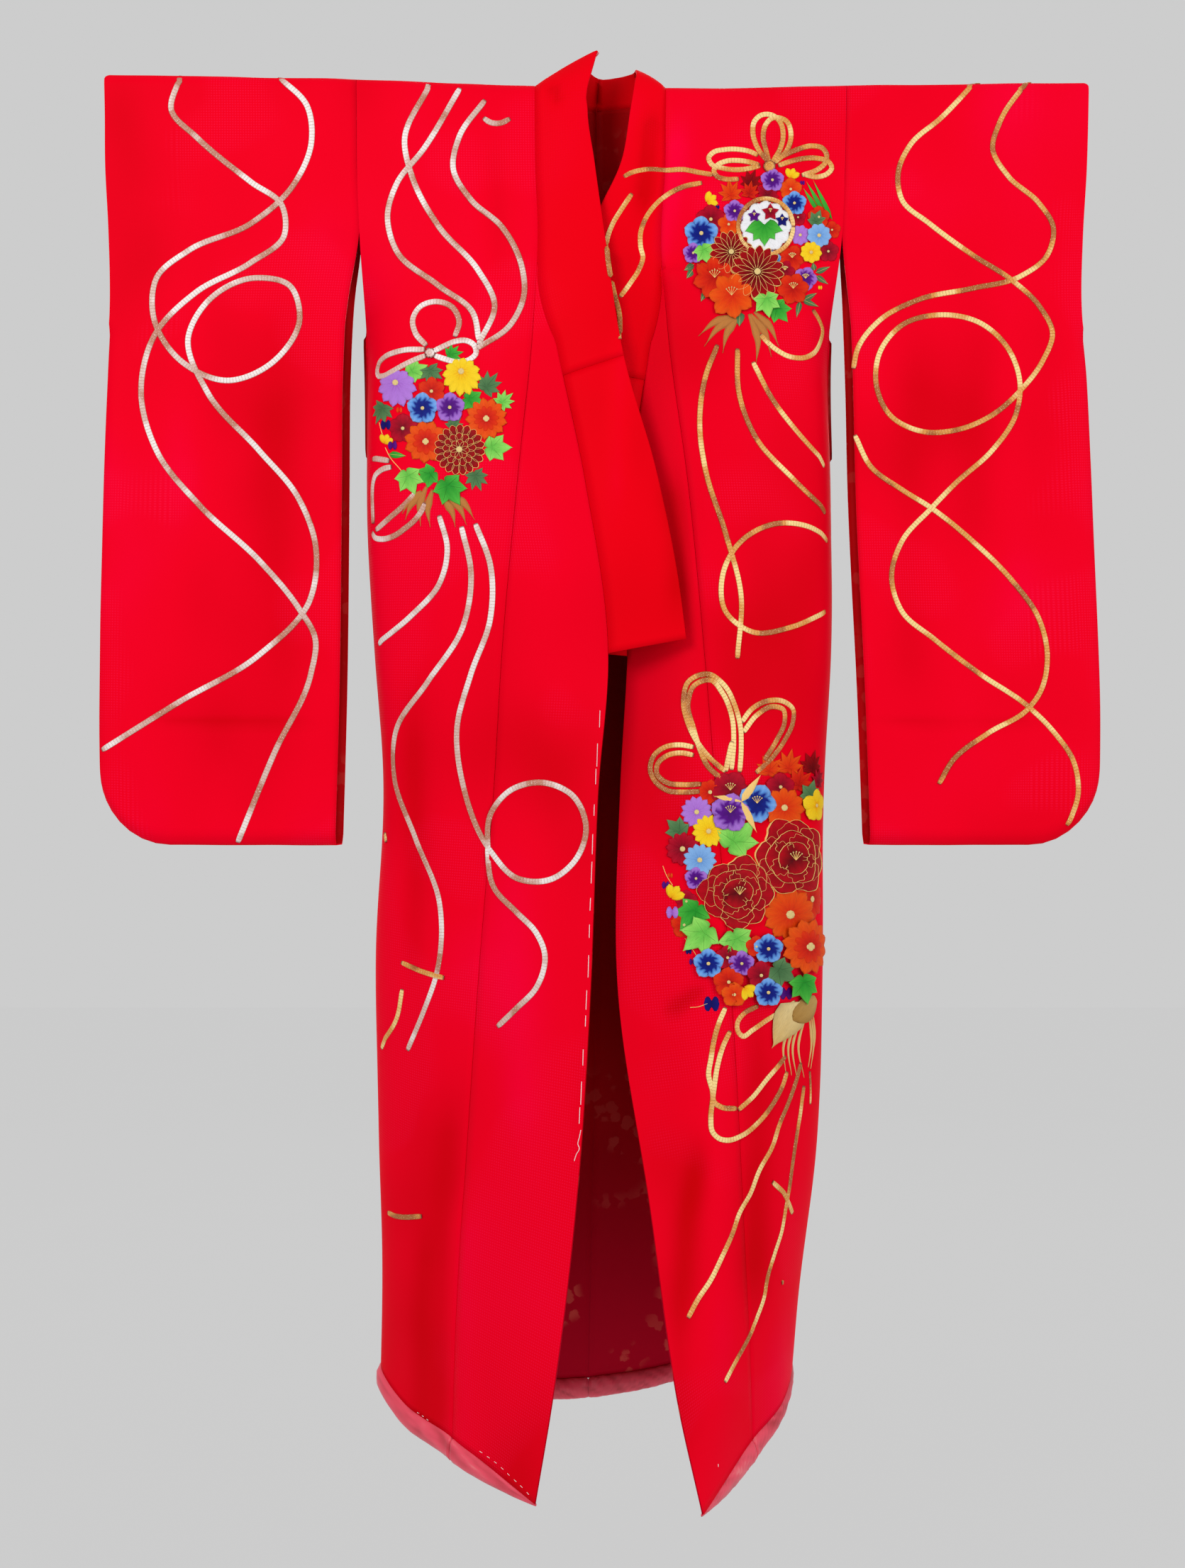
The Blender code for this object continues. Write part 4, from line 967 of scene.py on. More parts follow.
def hem_roll(name, surface, names, heights):
    """Satin drawn over a roll of wadding under a stretch of the hem, puckered across its length."""
    spots = [surface.at(n) for n in names]
    normals = [surface.normals[surface.names[n]] for n in names]
    chords = lengths_along(spots)
    count = max(8, round(chords[-1] / PUCKER_STEP))
    points, shade_tones, faces, uvs = [], [], [], []
    top = math.sin(math.pi / 2 - math.pi / 8)  # the roll's upper eighth is tucked behind the cloth
    for i in range(count + 1):
        share = i / count
        run = chords[-1] * share
        spot = smooth(chords, spots, min(max(run, 0.0002), chords[-1] - 0.0002))
        normal = smooth(chords, normals, run)
        normal = np.array((normal[0], normal[1], 0.0))
        normal /= np.linalg.norm(normal)
        height = heights[0] + (heights[1] - heights[0]) * math.sin(math.pi / 2 * share)
        end = min(1.0, min(share, 1 - share) * chords[-1] / 0.004)
        swell = 0.86 + 0.14 * math.sqrt(end)
        for side in range(PAD_SIDES):
            angle = 2 * math.pi * (side + 0.5) / PAD_SIDES
            slant = spot[0] * 95 + spot[1] * 60 + 2.2 * math.sin(angle)
            pucker = noise.noise(Vector((slant, math.sin(angle) * 1.1, spot[1] * 20)))
            pucker += 0.5 * noise.noise(Vector((slant * 2.3, math.cos(angle) * 1.6, 4.0)))
            wide = height * PAD_THICKNESS / 2 * swell * (1 + 0.16 * pucker)
            out = wide * math.cos(angle) * 1.05 - PAD_SET_BACK
            down = height / 2 * (1 - swell * (1 + 0.05 * pucker) * math.sin(angle) / top * 0.97)
            point = spot + normal * out
            point[2] -= max(down, -0.004)
            points.append(point)
            # the pucker also sets the satin's painted shade in its troughs and painted highlight on its crests
            shade_tones.append(pucker * 0.9)
    for i in range(count):
        for side in range(PAD_SIDES):
            a, b = i * PAD_SIDES + side, i * PAD_SIDES + (side + 1) % PAD_SIDES
            faces.append([a, b, b + PAD_SIDES, a + PAD_SIDES])
            v = [side / PAD_SIDES * ROLL_GIRTH, (side + 1) / PAD_SIDES * ROLL_GIRTH]
            u = [chords[-1] * i / count, chords[-1] * (i + 1) / count]
            uvs.append([(u[0], v[0]), (u[0], v[1]), (u[1], v[1]), (u[1], v[0])])
    for first, order in ((0, -1), (count * PAD_SIDES, 1)):
        faces.append([first + k for k in range(PAD_SIDES)][::order])
        uvs.append([(0.0, 0.0)] * PAD_SIDES)
    thing = finished_mesh(name, points, faces, uvs, [ROSE], None, shade_tones)
    outward = normals[0][0] * (spots[1] - spots[0])[1] - normals[0][1] * (spots[1] - spots[0])[0]
    if outward > 0:
        thing.data.flip_normals()
    return thing


def ring_rows(surface, rows):
    """Points and normals of the rows of a surface, from the front edge round to the back."""
    points = np.array([[surface.at(n) for n in row] for row in rows])
    normals = np.array([[surface.normals[surface.names[n]] for n in row] for row in rows])
    return points, normals


body = sewn_body()
sleeves = {side: sleeve_surface(side) for side in SIDES}
drawn_in = rounding(body)
walls = {}
for side in SIDES:
    for parts in (body.faces, body.cuts):
        parts["lining_" + side] = parts["body_" + side] + parts["overlap_" + side]
    bag = sleeves[side]
    for name, surface, piece, outer, inner, finish, drawn, gap in (
            ("silk_body_", body, "body_", 0.0, CLOTH, SCARLET, None, True),
            ("silk_overlap_", body, "overlap_", 0.0, CLOTH, SCARLET, None, True),
            ("silk_neckband_", body, "neckband_", 0.0, BAND_CLOTH, COLLAR_SILK, drawn_in, True),
            ("silk_sleeve_", bag, "sleeve_", 0.0, CLOTH, SCARLET, None, True),
            ("fine_lining_", body, "lining_", LINING_DEPTH, LINING_DEPTH + LINING, LINING_SILK, None, False),
            ("fine_sleeve_lining_", bag, "sleeve_", LINING_DEPTH, LINING_DEPTH + LINING, LINING_SILK, None, True)):
        walls[name + side] = cloth_wall(name + side, surface, piece + side, outer, inner, finish, drawn, gap)
walls["silk_over_collar"] = cloth_wall("silk_over_collar", body, "over_collar", -COLLAR_PROUD, BAND_CLOTH,
                                       COLLAR_SILK, drawn_in, False)
rolls = {}
for side in SIDES:
    height = PAD_HEIGHTS[side]
    fronts = [front_name(side, LAST_ROW, col) for col in range(SIDE_COL + 1)]
    backs = [back_name(side, LAST_ROW, col) for col in range(CENTRE_COL + 1)]
    stretches = (("overlap", fronts[:SEAM_COL + 1], (height.edge, height.seam)),
                 ("front", fronts[SEAM_COL:], (height.seam, height.side)),
                 ("back", backs, (height.side, height.centre)))
    for stretch, names, ends in stretches:
        title = f"satin_roll_{stretch}_{side}"
        rolls[title] = (hem_roll(title, body, names, ends), f"hem_pad_{stretch}_{side}")


# ---- laying needlework on the cloth --------------------------------------------------------------------
def outer_tree():
    """The outer face of all the silk, to lay the needlework on."""
    points, faces = [], []
    for surface in (body, sleeves["right"], sleeves["left"]):
        start = len(points)
        points += [tuple(spot) for spot in surface.spots]
        for piece, loops in surface.faces.items():
            if not piece.startswith("lining"):
                faces += [[start + i for i in loop] for loop in loops]
        if surface is body:
            body_count = len(faces)
    return BVHTree.FromPolygons(points, faces), body_count


OUTER, BODY_FACES = outer_tree()
RINGS = {}
for side in SIDES:
    around = []
    for r in range(LAST_ROW + 1):
        around.append([front_name(side, r, c) for c in range(SIDE_COL + 1)]
                      + [back_name(side, r, c) for c in range(NECK_COL + 1)])
    RINGS["body", side] = ring_rows(body, around)
    RINGS["sleeve", side] = ring_rows(sleeves[side], sleeves[side].ring)


TURNED = 0.58            # share of facing below which stitches follow the cloth round the side
SLEEVE_FROM = 36         # a chart point further out than this and higher than SLEEVE_TO is the sleeve's, cm
SLEEVE_TO = 103
MIDDLE_DOWN = 90         # stitches past the shoulder or the hem come back towards this level, cm
STEP_BACK = 0.1


def turn(face, piece, side):
    """Where each row of a ring begins to turn away, with its run of lengths and chart places."""
    points, normals = RINGS[piece, side]
    if face == "back":
        points, normals = points[:, ::-1], normals[:, ::-1]
    rows, cols = points.shape[:2]
    charts = chart_of(points.reshape(-1, 3), face).reshape(rows, cols, 2)
    across, downs = np.abs(charts[:, :, 0]), charts[:, :, 1]
    sights = np.array(EYES[face]) - points
    facing = (normals * sights).sum(axis=2) / np.linalg.norm(sights, axis=2)
    begins = []
    for r in range(rows):
        col = min(cols - 2, int(across[r].argmax()))
        while col > 0 and facing[r, col] < TURNED:
            col -= 1
        drop = facing[r, col] - facing[r, col + 1]
        begins.append(col + float(np.clip((facing[r, col] - TURNED) / drop, 0, 1)) if drop > 0 else float(col))
    begins = np.convolve(np.pad(begins, 4, mode="edge"), np.ones(9) / 9, mode="valid")
    steps = np.linalg.norm(np.diff(points, axis=1), axis=2)
    lengths = np.concatenate((np.zeros((rows, 1)), steps.cumsum(axis=1)), axis=1)
    at = [tuple(float(np.interp(begins[r], range(cols), run[r])) for run in (across, downs, lengths))
          for r in range(rows)]
    return points, normals, lengths, np.array(at)


TURNS = {(face, piece, side): turn(face, piece, side)
         for face in EYES for piece in ("body", "sleeve") for side in SIDES}


def round_the_side(face, piece, x, down):
    """Where a chart point near the outline lies when the stitches follow the side, or None if it is not near."""
    points, normals, lengths, at = TURNS[face, piece, "right" if x < 0 else "left"]
    if abs(x) < np.interp(down, at[:, 1], at[:, 0]):
        return None
    level = down
    for _ in range(3):
        r = int(np.clip(np.searchsorted(at[:, 1], level), 1, len(at) - 1))
        t = float(np.clip((level - at[r - 1, 1]) / max(1e-6, at[r, 1] - at[r - 1, 1]), 0, 1))
        spot, normal = np.zeros(3), np.zeros(3)
        for row, share in ((r - 1, 1 - t), (r, t)):
            past = (abs(x) - at[row, 0]) / 100
            length = at[row, 2] + (past if past > 0 else past / TURNED)
            col = float(np.interp(length, lengths[row], range(len(lengths[row]))))
            near = min(len(lengths[row]) - 2, int(col))
            for total, values in ((spot, points), (normal, normals)):
                total += share * (values[row, near] * (near + 1 - col) + values[row, near + 1] * (col - near))
        level += down - chart_of(spot[None], face)[0, 1]
    return spot, normal / np.linalg.norm(normal)


def lands(face, x, down):
    """The point of the cloth straight under a chart point, its direction and its piece, or None past an edge."""
    aim = Vector((x / 100, 0, -down / 100)) - EYES[face]
    spot, normal, index, _ = OUTER.ray_cast(EYES[face], aim.normalized())
    if spot is None or normal.dot(aim) > 0:
        return None
    return np.array(spot), np.array(normal), "body" if index < BODY_FACES else "sleeve"


def lay(face, x, down):
    """The point of the cloth under a chart point, and the cloth's direction there."""
    hit = lands(face, x, down)
    piece = hit[2] if hit else "sleeve" if abs(x) > SLEEVE_FROM and down < SLEEVE_TO else "body"
    found = round_the_side(face, piece, x, down) or (hit and hit[:2])
    while not found:
        down += STEP_BACK if down < MIDDLE_DOWN else -STEP_BACK
        hit = lands(face, x, down)
        found = hit and hit[:2]
    return found


class Needlework:
    """Stitches gathered into one piece: points, faces, place along the thread, dye and painted shade at the rim."""

    def __init__(self, face="front"):
        self.face = face
        self.points, self.faces, self.uvs, self.slots, self.dyes, self.edge_shades = [], [], [], [], [], []
        self.discs = []

    def net(self, rows, uvs, slot, dyes, edge_shades, turned=False):
        start = len(self.points)
        wide = len(rows[0])
        for row, dye_row, edge_shade_row in zip(rows, dyes, edge_shades):
            self.points += row
            self.dyes += dye_row
            self.edge_shades += edge_shade_row
        for r in range(len(rows) - 1):
            for c in range(wide - 1):
                corners = ((r, c), (r, c + 1), (r + 1, c + 1), (r + 1, c))
                order = corners[::-1] if turned else corners
                self.faces.append([start + i * wide + j for i, j in order])
                self.uvs.append([uvs[i][j] for i, j in order])
                self.slots.append(slot)

    def height_over(self, centre, radius):
        """A new motif lies above those that it overlaps."""
        below = [h for c, r, h in self.discs if math.dist(c, centre) < (r + radius) * 0.82]
        height = (max(below) + 0.00042) if below else 0.00025
        self.discs.append((centre, radius, height))
        return height

    def patch(self, at, turn, length, width, shape, height, dyes, dome=0.0006, slot=0, steps=(7, 6)):
        """One area of satin stitch: from at, along turn, its width following shape, domed, its dyes along it."""
        along_dir = np.array((math.cos(turn), math.sin(turn)))
        across = np.array((-along_dir[1], along_dir[0]))
        many, wide = steps
        rows, uvs, colours, edge_shades = [], [], [], []
        for i in range(many + 1):
            t = 1 - (1 - i / many) ** 1.5
            half = width / 2 * shape(t)
            row, uv_row, colour_row, edge_shade_row = [], [], [], []
            for j in range(wide + 1):
                s = -1 + 2 * j / wide
                chart = np.array(at) + along_dir * (t * length * (1 - 0.06 * s * s)) + across * (s * half)
                spot, normal = lay(self.face, *chart)
                rim = max(abs(s) ** 4, ((t - 0.5) * 2) ** 8 if t > 0.5 else 0)
                rise = height + dome * (1 - 0.9 * rim)
                row.append(spot + normal * rise)
                uv_row.append((s * half / 100, t * length / 100))
                ragged = t + (0.07 if j % 2 else -0.07)
                colour_row.append(shaded(dyes, ragged))
                # painted shade darkens the patch towards its rim, where patches meet; the same rim also lowers the
                # dome
                edge_shade_row.append(0.8 * rim)
            rows.append(row)
            uvs.append(uv_row)
            colours.append(colour_row)
            edge_shades.append(edge_shade_row)
        self.net(rows, uvs, slot, colours, edge_shades, self.face == "back")

    def strip(self, path, width, height, slot, crown=0.0003, tint=(1, 1, 1), strands=0, step=0.35, taper=0.0):
        """A cord or line along chart points: width in cm, one crown, or strands side by side."""
        points = [np.array(p, dtype=float) for p in path]
        chords = lengths_along(points, 1e-4)
        count = max(2, int(chords[-1] / step))
        centres = [smooth(chords, points, chords[-1] * k / count) if len(points) > 2
                   else points[0] + (points[1] - points[0]) * k / count for k in range(count + 1)]
        laid = [lay(self.face, *c) for c in centres]
        spots = np.array([p for p, _ in laid])
        normals = np.array([n for _, n in laid])
        for _ in range(3):
            normals[1:-1] = (normals[:-2] + normals[1:-1] + normals[2:]) / 3
        normals /= np.linalg.norm(normals, axis=1)[:, None]
        tangents = np.gradient(spots, axis=0)
        tangents /= np.maximum(1e-9, np.linalg.norm(tangents, axis=1))[:, None]
        aside = np.cross(normals, tangents)
        wide = strands * 3 if strands else 4
        rows, uvs, dyes, edge_shades = [], [], [], []
        run = 0.0
        for k in range(count + 1):
            if k:
                run += float(np.linalg.norm(spots[k] - spots[k - 1]))
            end = min(k, count - k)
            narrow = (0.72, 0.94)[end] if end < 2 and strands else 1.0
            if taper:
                narrow = max(0.06, 1 - taper * abs(2 * k / count - 0.75))
            row, uv_row, edge_shade_row = [], [], []
            for j in range(wide + 1):
                s = -1 + 2 * j / wide
                bump = abs(math.sin(math.pi * strands * j / wide)) * 0.00035 if strands else 0.0
                rise = height + (crown * (1 - s ** 4) + bump) * (0.6 if end == 0 else 1.0)
                if abs(s) == 1:
                    rise = -0.0001
                row.append(spots[k] + aside[k] * (s * narrow * width / 200) + normals[k] * rise)
                uv_row.append((s * width / 200, run))
                # painted shade along both edges and at the ends, where the strip meets the cloth
                edge_shade_row.append(1.0 if abs(s) == 1 or end == 0 else 0.0)
            rows.append(row)
            uvs.append(uv_row)
            dyes.append([tint] * (wide + 1))
            edge_shades.append(edge_shade_row)
        self.net(rows, uvs, slot, dyes, edge_shades, True)

    def made(self, name, finishes, slot):
        thing = finished_mesh(name, self.points, self.faces, self.uvs, finishes, self.slots, None, self.dyes,
                              self.edge_shades)
        needlework.append((thing, slot))


def shaded(dyes, t):
    """A colour from a run of (share, dye) stops."""
    stops = [stop for stop, _ in dyes]
    return tuple(np.interp(t, stops, [colour[c] for _, colour in dyes]) for c in range(3))


# ---- shapes of a patch: its half width, from 0 at the root to 0 at the tip ---------------------------------
def round_petal(t):
    if t < 0.6:
        return 0.34 + 0.66 * math.sin(math.pi / 2 * t / 0.6)
    return math.sqrt(max(0.0, 1 - ((t - 0.6) / 0.4) ** 2)) * 0.98 + 0.02


def full_petal(t):
    if t < 0.45:
        return 0.42 + 0.58 * math.sin(math.pi / 2 * t / 0.45)
    return math.sqrt(max(0.0, 1 - ((t - 0.45) / 0.55) ** 2.6)) * 0.97 + 0.03


def ruffled_petal(t):
    return full_petal(t) * (1 + 0.08 * math.sin(t * 21) * min(1.0, t * 2))


def leaf_lobe(t):
    return math.sin(math.pi * min(1.0, t * 1.02) ** 0.62) ** 0.9 * 0.98 + 0.02 * (1 - t)


def star_lobe(t):
    if t < 0.32:
        return 0.5 + 0.5 * math.sin(math.pi / 2 * t / 0.32)
    return (1 - (t - 0.32) / 0.68) ** 0.85


def blade(t):
    return math.sin(math.pi * (0.08 + 0.92 * t) ** 0.8) * (1 - t * 0.25) + 0.02


# ---- dyes ---------------------------------------------------------------------------------------------------
def dyed(*stops):
    """A run of dyes along a stitch: the share of its length, then red, green and blue."""
    return tuple((share, dye(*colour)) for share, *colour in stops)


LILAC = dyed((0, 150, 84, 186), (0.25, 176, 116, 216), (1, 184, 128, 224))
YELLOW = dyed((0, 238, 150, 10), (0.3, 250, 204, 22), (1, 255, 218, 40))
ORANGE = dyed((0, 214, 34, 6), (0.45, 232, 66, 8), (1, 240, 92, 14))
FLAME = dyed((0, 176, 10, 6), (0.5, 218, 34, 8), (1, 232, 58, 12))
CRIMSON = dyed((0, 110, 0, 24), (0.5, 164, 0, 34), (1, 196, 6, 40))
WINE = dyed((0, 100, 0, 8), (0.6, 146, 0, 10), (1, 172, 0, 14))
PEONY = dyed((0, 84, 0, 12), (0.45, 138, 0, 14), (1, 190, 0, 24))
BLUE = dyed((0, 0, 20, 110), (0.5, 4, 34, 136), (0.62, 90, 150, 228), (1, 134, 184, 242))
VIOLET = dyed((0, 70, 8, 110), (0.5, 90, 16, 140), (0.62, 158, 104, 204), (1, 178, 122, 220))
SKY = dyed((0, 92, 142, 206), (0.4, 122, 170, 228), (1, 140, 188, 240))
NAVY = dyed((0, 6, 10, 90), (1, 12, 22, 124))
PURPLE = dyed((0, 70, 0, 110), (1, 96, 16, 140))
GREEN = dyed((0, 26, 146, 40), (0.6, 66, 178, 58), (1, 90, 202, 74))
LIME = dyed((0, 96, 190, 70), (0.6, 142, 222, 96), (1, 156, 232, 108))
MOSS = dyed((0, 64, 108, 66), (0.6, 88, 132, 84), (1, 104, 146, 96))
STRAW = dyed((0, 216, 178, 110), (0.5, 204, 158, 84), (1, 176, 122, 60))
SHELL_CAP = dyed((0, 196, 158, 92), (1, 172, 128, 62))
SHELL = dyed((0, 232, 208, 150), (1, 214, 176, 104))
EYE_GOLD = dye(232, 206, 138)
WHITE_SILK = dyed((0, 236, 236, 240), (1, 244, 244, 248))


def off(at, angle, reach):
    """The chart point that lies so far from another, at an angle."""
    return (at[0] + math.cos(angle) * reach, at[1] + math.sin(angle) * reach)


def toward(start, end):
    return math.atan2(end[1] - start[1], end[0] - start[0])


def knot(work, at, size, height, tint=EYE_GOLD):
    """A small raised seed in the middle of a flower."""
    for turn in range(4):
        work.patch(at, turn * math.pi / 2, size, size * 1.5, full_petal, height, ((0.0, tint), (1.0, tint)), 0.0006,
                   0, (3, 3))


def stamens(work, at, size, height, turn=-math.pi / 2, many=5):
    for k in range(many):
        angle = turn + (k - (many - 1) / 2) * 0.36
        end = off(at, angle, size)
        work.strip((at, end), 0.09, height, 1, 0.0003)
        knot(work, end, 0.10, height + 0.0002)


def daisy(work, at, size, many, dyes, eye=None, start=0.1, inner=None, seed=0.16):
    """Narrow round petals round an eye that may sit off the middle."""
    size *= 1.06
    height = work.height_over(at, size)
    eye = eye or at
    for k in range(many):
        angle = start + 2 * math.pi * k / many
        tip = off(at, angle, size)
        work.patch(eye, toward(eye, tip), math.dist(eye, tip), 2.7 * size * math.pi / many * 0.72, round_petal,
                   height + (k % 2) * 0.00012, dyes)
    if inner:
        for k in range(many - 2):
            angle = start + 0.3 + 2 * math.pi * k / (many - 2)
            work.patch(eye, angle, size * 0.62, 1.3 * size * math.pi / many, round_petal, height + 0.0004, inner)
    knot(work, eye, size * seed, height + 0.0007)


def blossom(work, at, size, dyes, many=5, start=-math.pi / 2, seed=0.12, stamen=False, eye=None):
    """Broad petals that overlap, as on a pansy or a plum."""
    size *= 1.1
    height = work.height_over(at, size)
    eye = eye or at
    for k in range(many):
        angle = start + 2 * math.pi * k / many
        tip = off(at, angle, size)
        work.patch(eye, toward(eye, tip), math.dist(eye, tip), size * 4.9 / many, full_petal,
                   height + (k % 3) * 0.0001, dyes)
    if stamen:
        stamens(work, eye, size * 0.34, height + 0.0009)
    else:
        knot(work, eye, size * seed, height + 0.0008)


def outlined(work, at, turn, length, width, shape, height, dyes, line=0.10, root=0.22, many=9):
    """A petal filled with silk and edged with a couched gold line."""
    work.patch(at, turn, length, width, shape, height, dyes, 0.0005, 0, (max(7, many * 2 // 3), 6))
    edge = []
    for s, run in ((-1, np.linspace(root, 1, many)), (1, np.linspace(1, root, many))):
        for t in run:
            half = s * width / 2 * shape(t) * (0.3 if t > 0.995 else 1)
            a = t * length * (0.94 if t < 0.995 else 1.0)
            edge.append((at[0] + a * math.cos(turn) - half * math.sin(turn),
                         at[1] + a * math.sin(turn) + half * math.cos(turn)))
    work.strip(edge, line, height + 0.0005, 1, 0.0003, step=0.16)


def chrysanthemum(work, at, size, rings=((19, 0.50, 1.0), (13, 0.27, 0.66), (8, 0.06, 0.40))):
    """Rings of dark red petals, each edged with gold: how many, where they root and how far they reach."""
    height = work.height_over(at, size)
    for turn in range(4):
        work.patch(at, turn * math.pi / 2, size * 0.8, size * 1.5, full_petal, height, WINE, 0.0003)
    for ring, (many, root, tip) in enumerate(rings):
        for k in range(many):
            turn = 2 * math.pi * (k + 0.5 * (ring % 2)) / many + 0.1
            start = off(at, turn, size * root)
            outlined(work, start, turn, size * (tip - root), 5.9 * size * tip / many, round_petal,
                     height + 0.0004 + ring * 0.0005, WINE, 0.06, 0.0)
    knot(work, at, size * 0.13, height + 0.0020)


def peony(work, at, size, turn=0.4):
    """Broad ruffled petals in three rings, edged with a fine gold line, with stamens in the middle."""
    height = work.height_over(at, size)
    for ring, (many, reach, wide) in enumerate(((8, 1.0, 0.84), (5, 0.68, 0.80), (3, 0.40, 0.58))):
        for k in range(many):
            angle = turn + ring * 0.5 + 2 * math.pi * k / many + 0.16 * math.sin(k * 4.1 + ring * 2)
            longer = 0.95 + 0.07 * math.sin(k * 2.7 + ring)
            outlined(work, at, angle, size * reach * longer, size * wide * (1.9 - longer * 0.95), ruffled_petal,
                     height + ring * 0.0007 + (k % 2) * 0.0002, PEONY, 0.06, 0.2, 19)
    stamens(work, (at[0] + size * 0.05, at[1] + size * 0.05), size * 0.2, height + 0.0026)


def maple(work, at, size, dyes, turn=-math.pi / 2, lobes=(-2.0, -1.25, -0.6, 0.0, 0.6, 1.25, 2.0), slim=0.54):
    """Pointed lobes that fan from the leaf's root, with a vein in each."""
    size *= 1.16
    height = work.height_over(at, size)
    for k, lean in enumerate(lobes):
        reach = size * (1.12 - 0.2 * abs(lean))
        work.patch(at, turn + lean, reach, size * slim, star_lobe, height + (k % 3) * 0.0001, dyes)
        work.strip((at, off(at, turn + lean, reach * 0.8)), 0.05, height + 0.0006, 0, 0.0002,
                   tuple(c * 0.45 for c in shaded(dyes, 0.2)))


def ivy(work, at, size, dyes, turn=0.0):
    """A broad leaf of five soft points."""
    maple(work, at, size, dyes, turn, (-1.75, -0.85, 0.0, 0.85, 1.75), 0.86)


def leaf(work, at, turn, length, width, dyes, vein=True):
    height = work.height_over(off(at, turn, length / 2), length * 0.35)
    work.patch(at, turn, length, width, leaf_lobe, height, dyes)
    if vein:
        work.strip((at, off(at, turn, length * 0.9)), 0.06, height + 0.0005, 1, 0.0002)


def bud(work, at, size, dyes, turn=0.0):
    height = work.height_over(at, size)
    for way in (0.0, math.pi):
        work.patch(at, turn + way, size, size * 1.9, full_petal, height, dyes, steps=(4, 4))


def winged_bud(work, at, size, dyes, turn=0.0):
    """Three small lobes side by side."""
    height = work.height_over(at, size)
    for lean in (-0.75, 0.0, 0.75):
        work.patch(at, turn + lean, size * 1.5, size * 0.9, full_petal, height, dyes, steps=(5, 4))


def straws(work, roots, tips, width=1.2, tint=dye(192, 124, 62)):
    """Long tan blades under a bunch."""
    for root, tip in zip(roots, tips):
        turn = toward(root, tip)
        bow = math.dist(root, tip) * 0.10 * (1 if tip[0] < root[0] else -1)
        middle = ((root[0] + tip[0]) / 2 - math.sin(turn) * bow, (root[1] + tip[1]) / 2 + math.cos(turn) * bow)
        height = work.height_over(middle, 0.3)
        work.strip((root, middle, tip), width, height, 0, 0.0009, tint, step=0.25, taper=0.9)


def stem(work, path, width=0.09):
    work.strip(path, width, 0.0006, 1, 0.0003)


SILVER_WIDE = 0.80
GOLD_WIDE = 0.72


def cords(work, paths, width, height=0.0004):
    """Couched cords of four threads each."""
    for k, path in enumerate(paths):
        work.strip(path, width, height + (k % 3) * 0.00022, 0, 0.0006, strands=4)


def wraps(work, at, turns, reach, width, height):
    """Short wraps of cord over the middle of a bow."""
    for turn in turns:
        work.strip((off(at, turn, -reach), at, off(at, turn, reach)), width, height, 0, 0.0008, strands=3)


def plant(work, flowers):
    """Flowers and leaves put down one over another: what each is, where, its size and the rest."""
    for make, *rest in flowers:
        make(work, *rest)


needlework = []

# ---- the wearer's right side: silver --------------------------------------------------------------------
silver_sleeve = Needlework()
cords(silver_sleeve, (
    ((-56.4, -0.8), (-57.6, 3.7), (-54.2, 7.4), (-46.8, 13.5), (-42.6, 16.7), (-42.3, 20.7), (-46.8, 24.4),
     (-54.2, 28.4), (-60, 34.5), (-61.7, 42), (-59.6, 49.9), (-53.7, 57.4), (-45.7, 64.8), (-40.4, 71.2),
     (-38.1, 75.4), (-38.7, 80.2), (-43.6, 90.8), (-48.6, 103)),
    ((-43.1, -0.8), (-39.2, 3.2), (-38.6, 7.9), (-41, 13.8), (-46.8, 19.1), (-55.3, 22.8), (-59.6, 26.5),
     (-60.1, 31.3), (-56.9, 37.2), (-50, 40.4), (-43.6, 37.7), (-40.2, 31.9), (-41.5, 27.6), (-46.3, 26.5),
     (-52.7, 29.7), (-55.3, 34.5), (-52.7, 42), (-45.7, 49.9), (-40.4, 56.3), (-38, 63.2), (-38.8, 70.1),
     (-45.7, 77.6), (-56.4, 83.9), (-67, 90.5)),
), SILVER_WIDE)
silver_sleeve.made("silver_cords_right_sleeve", [SILVER], "silver_thread")

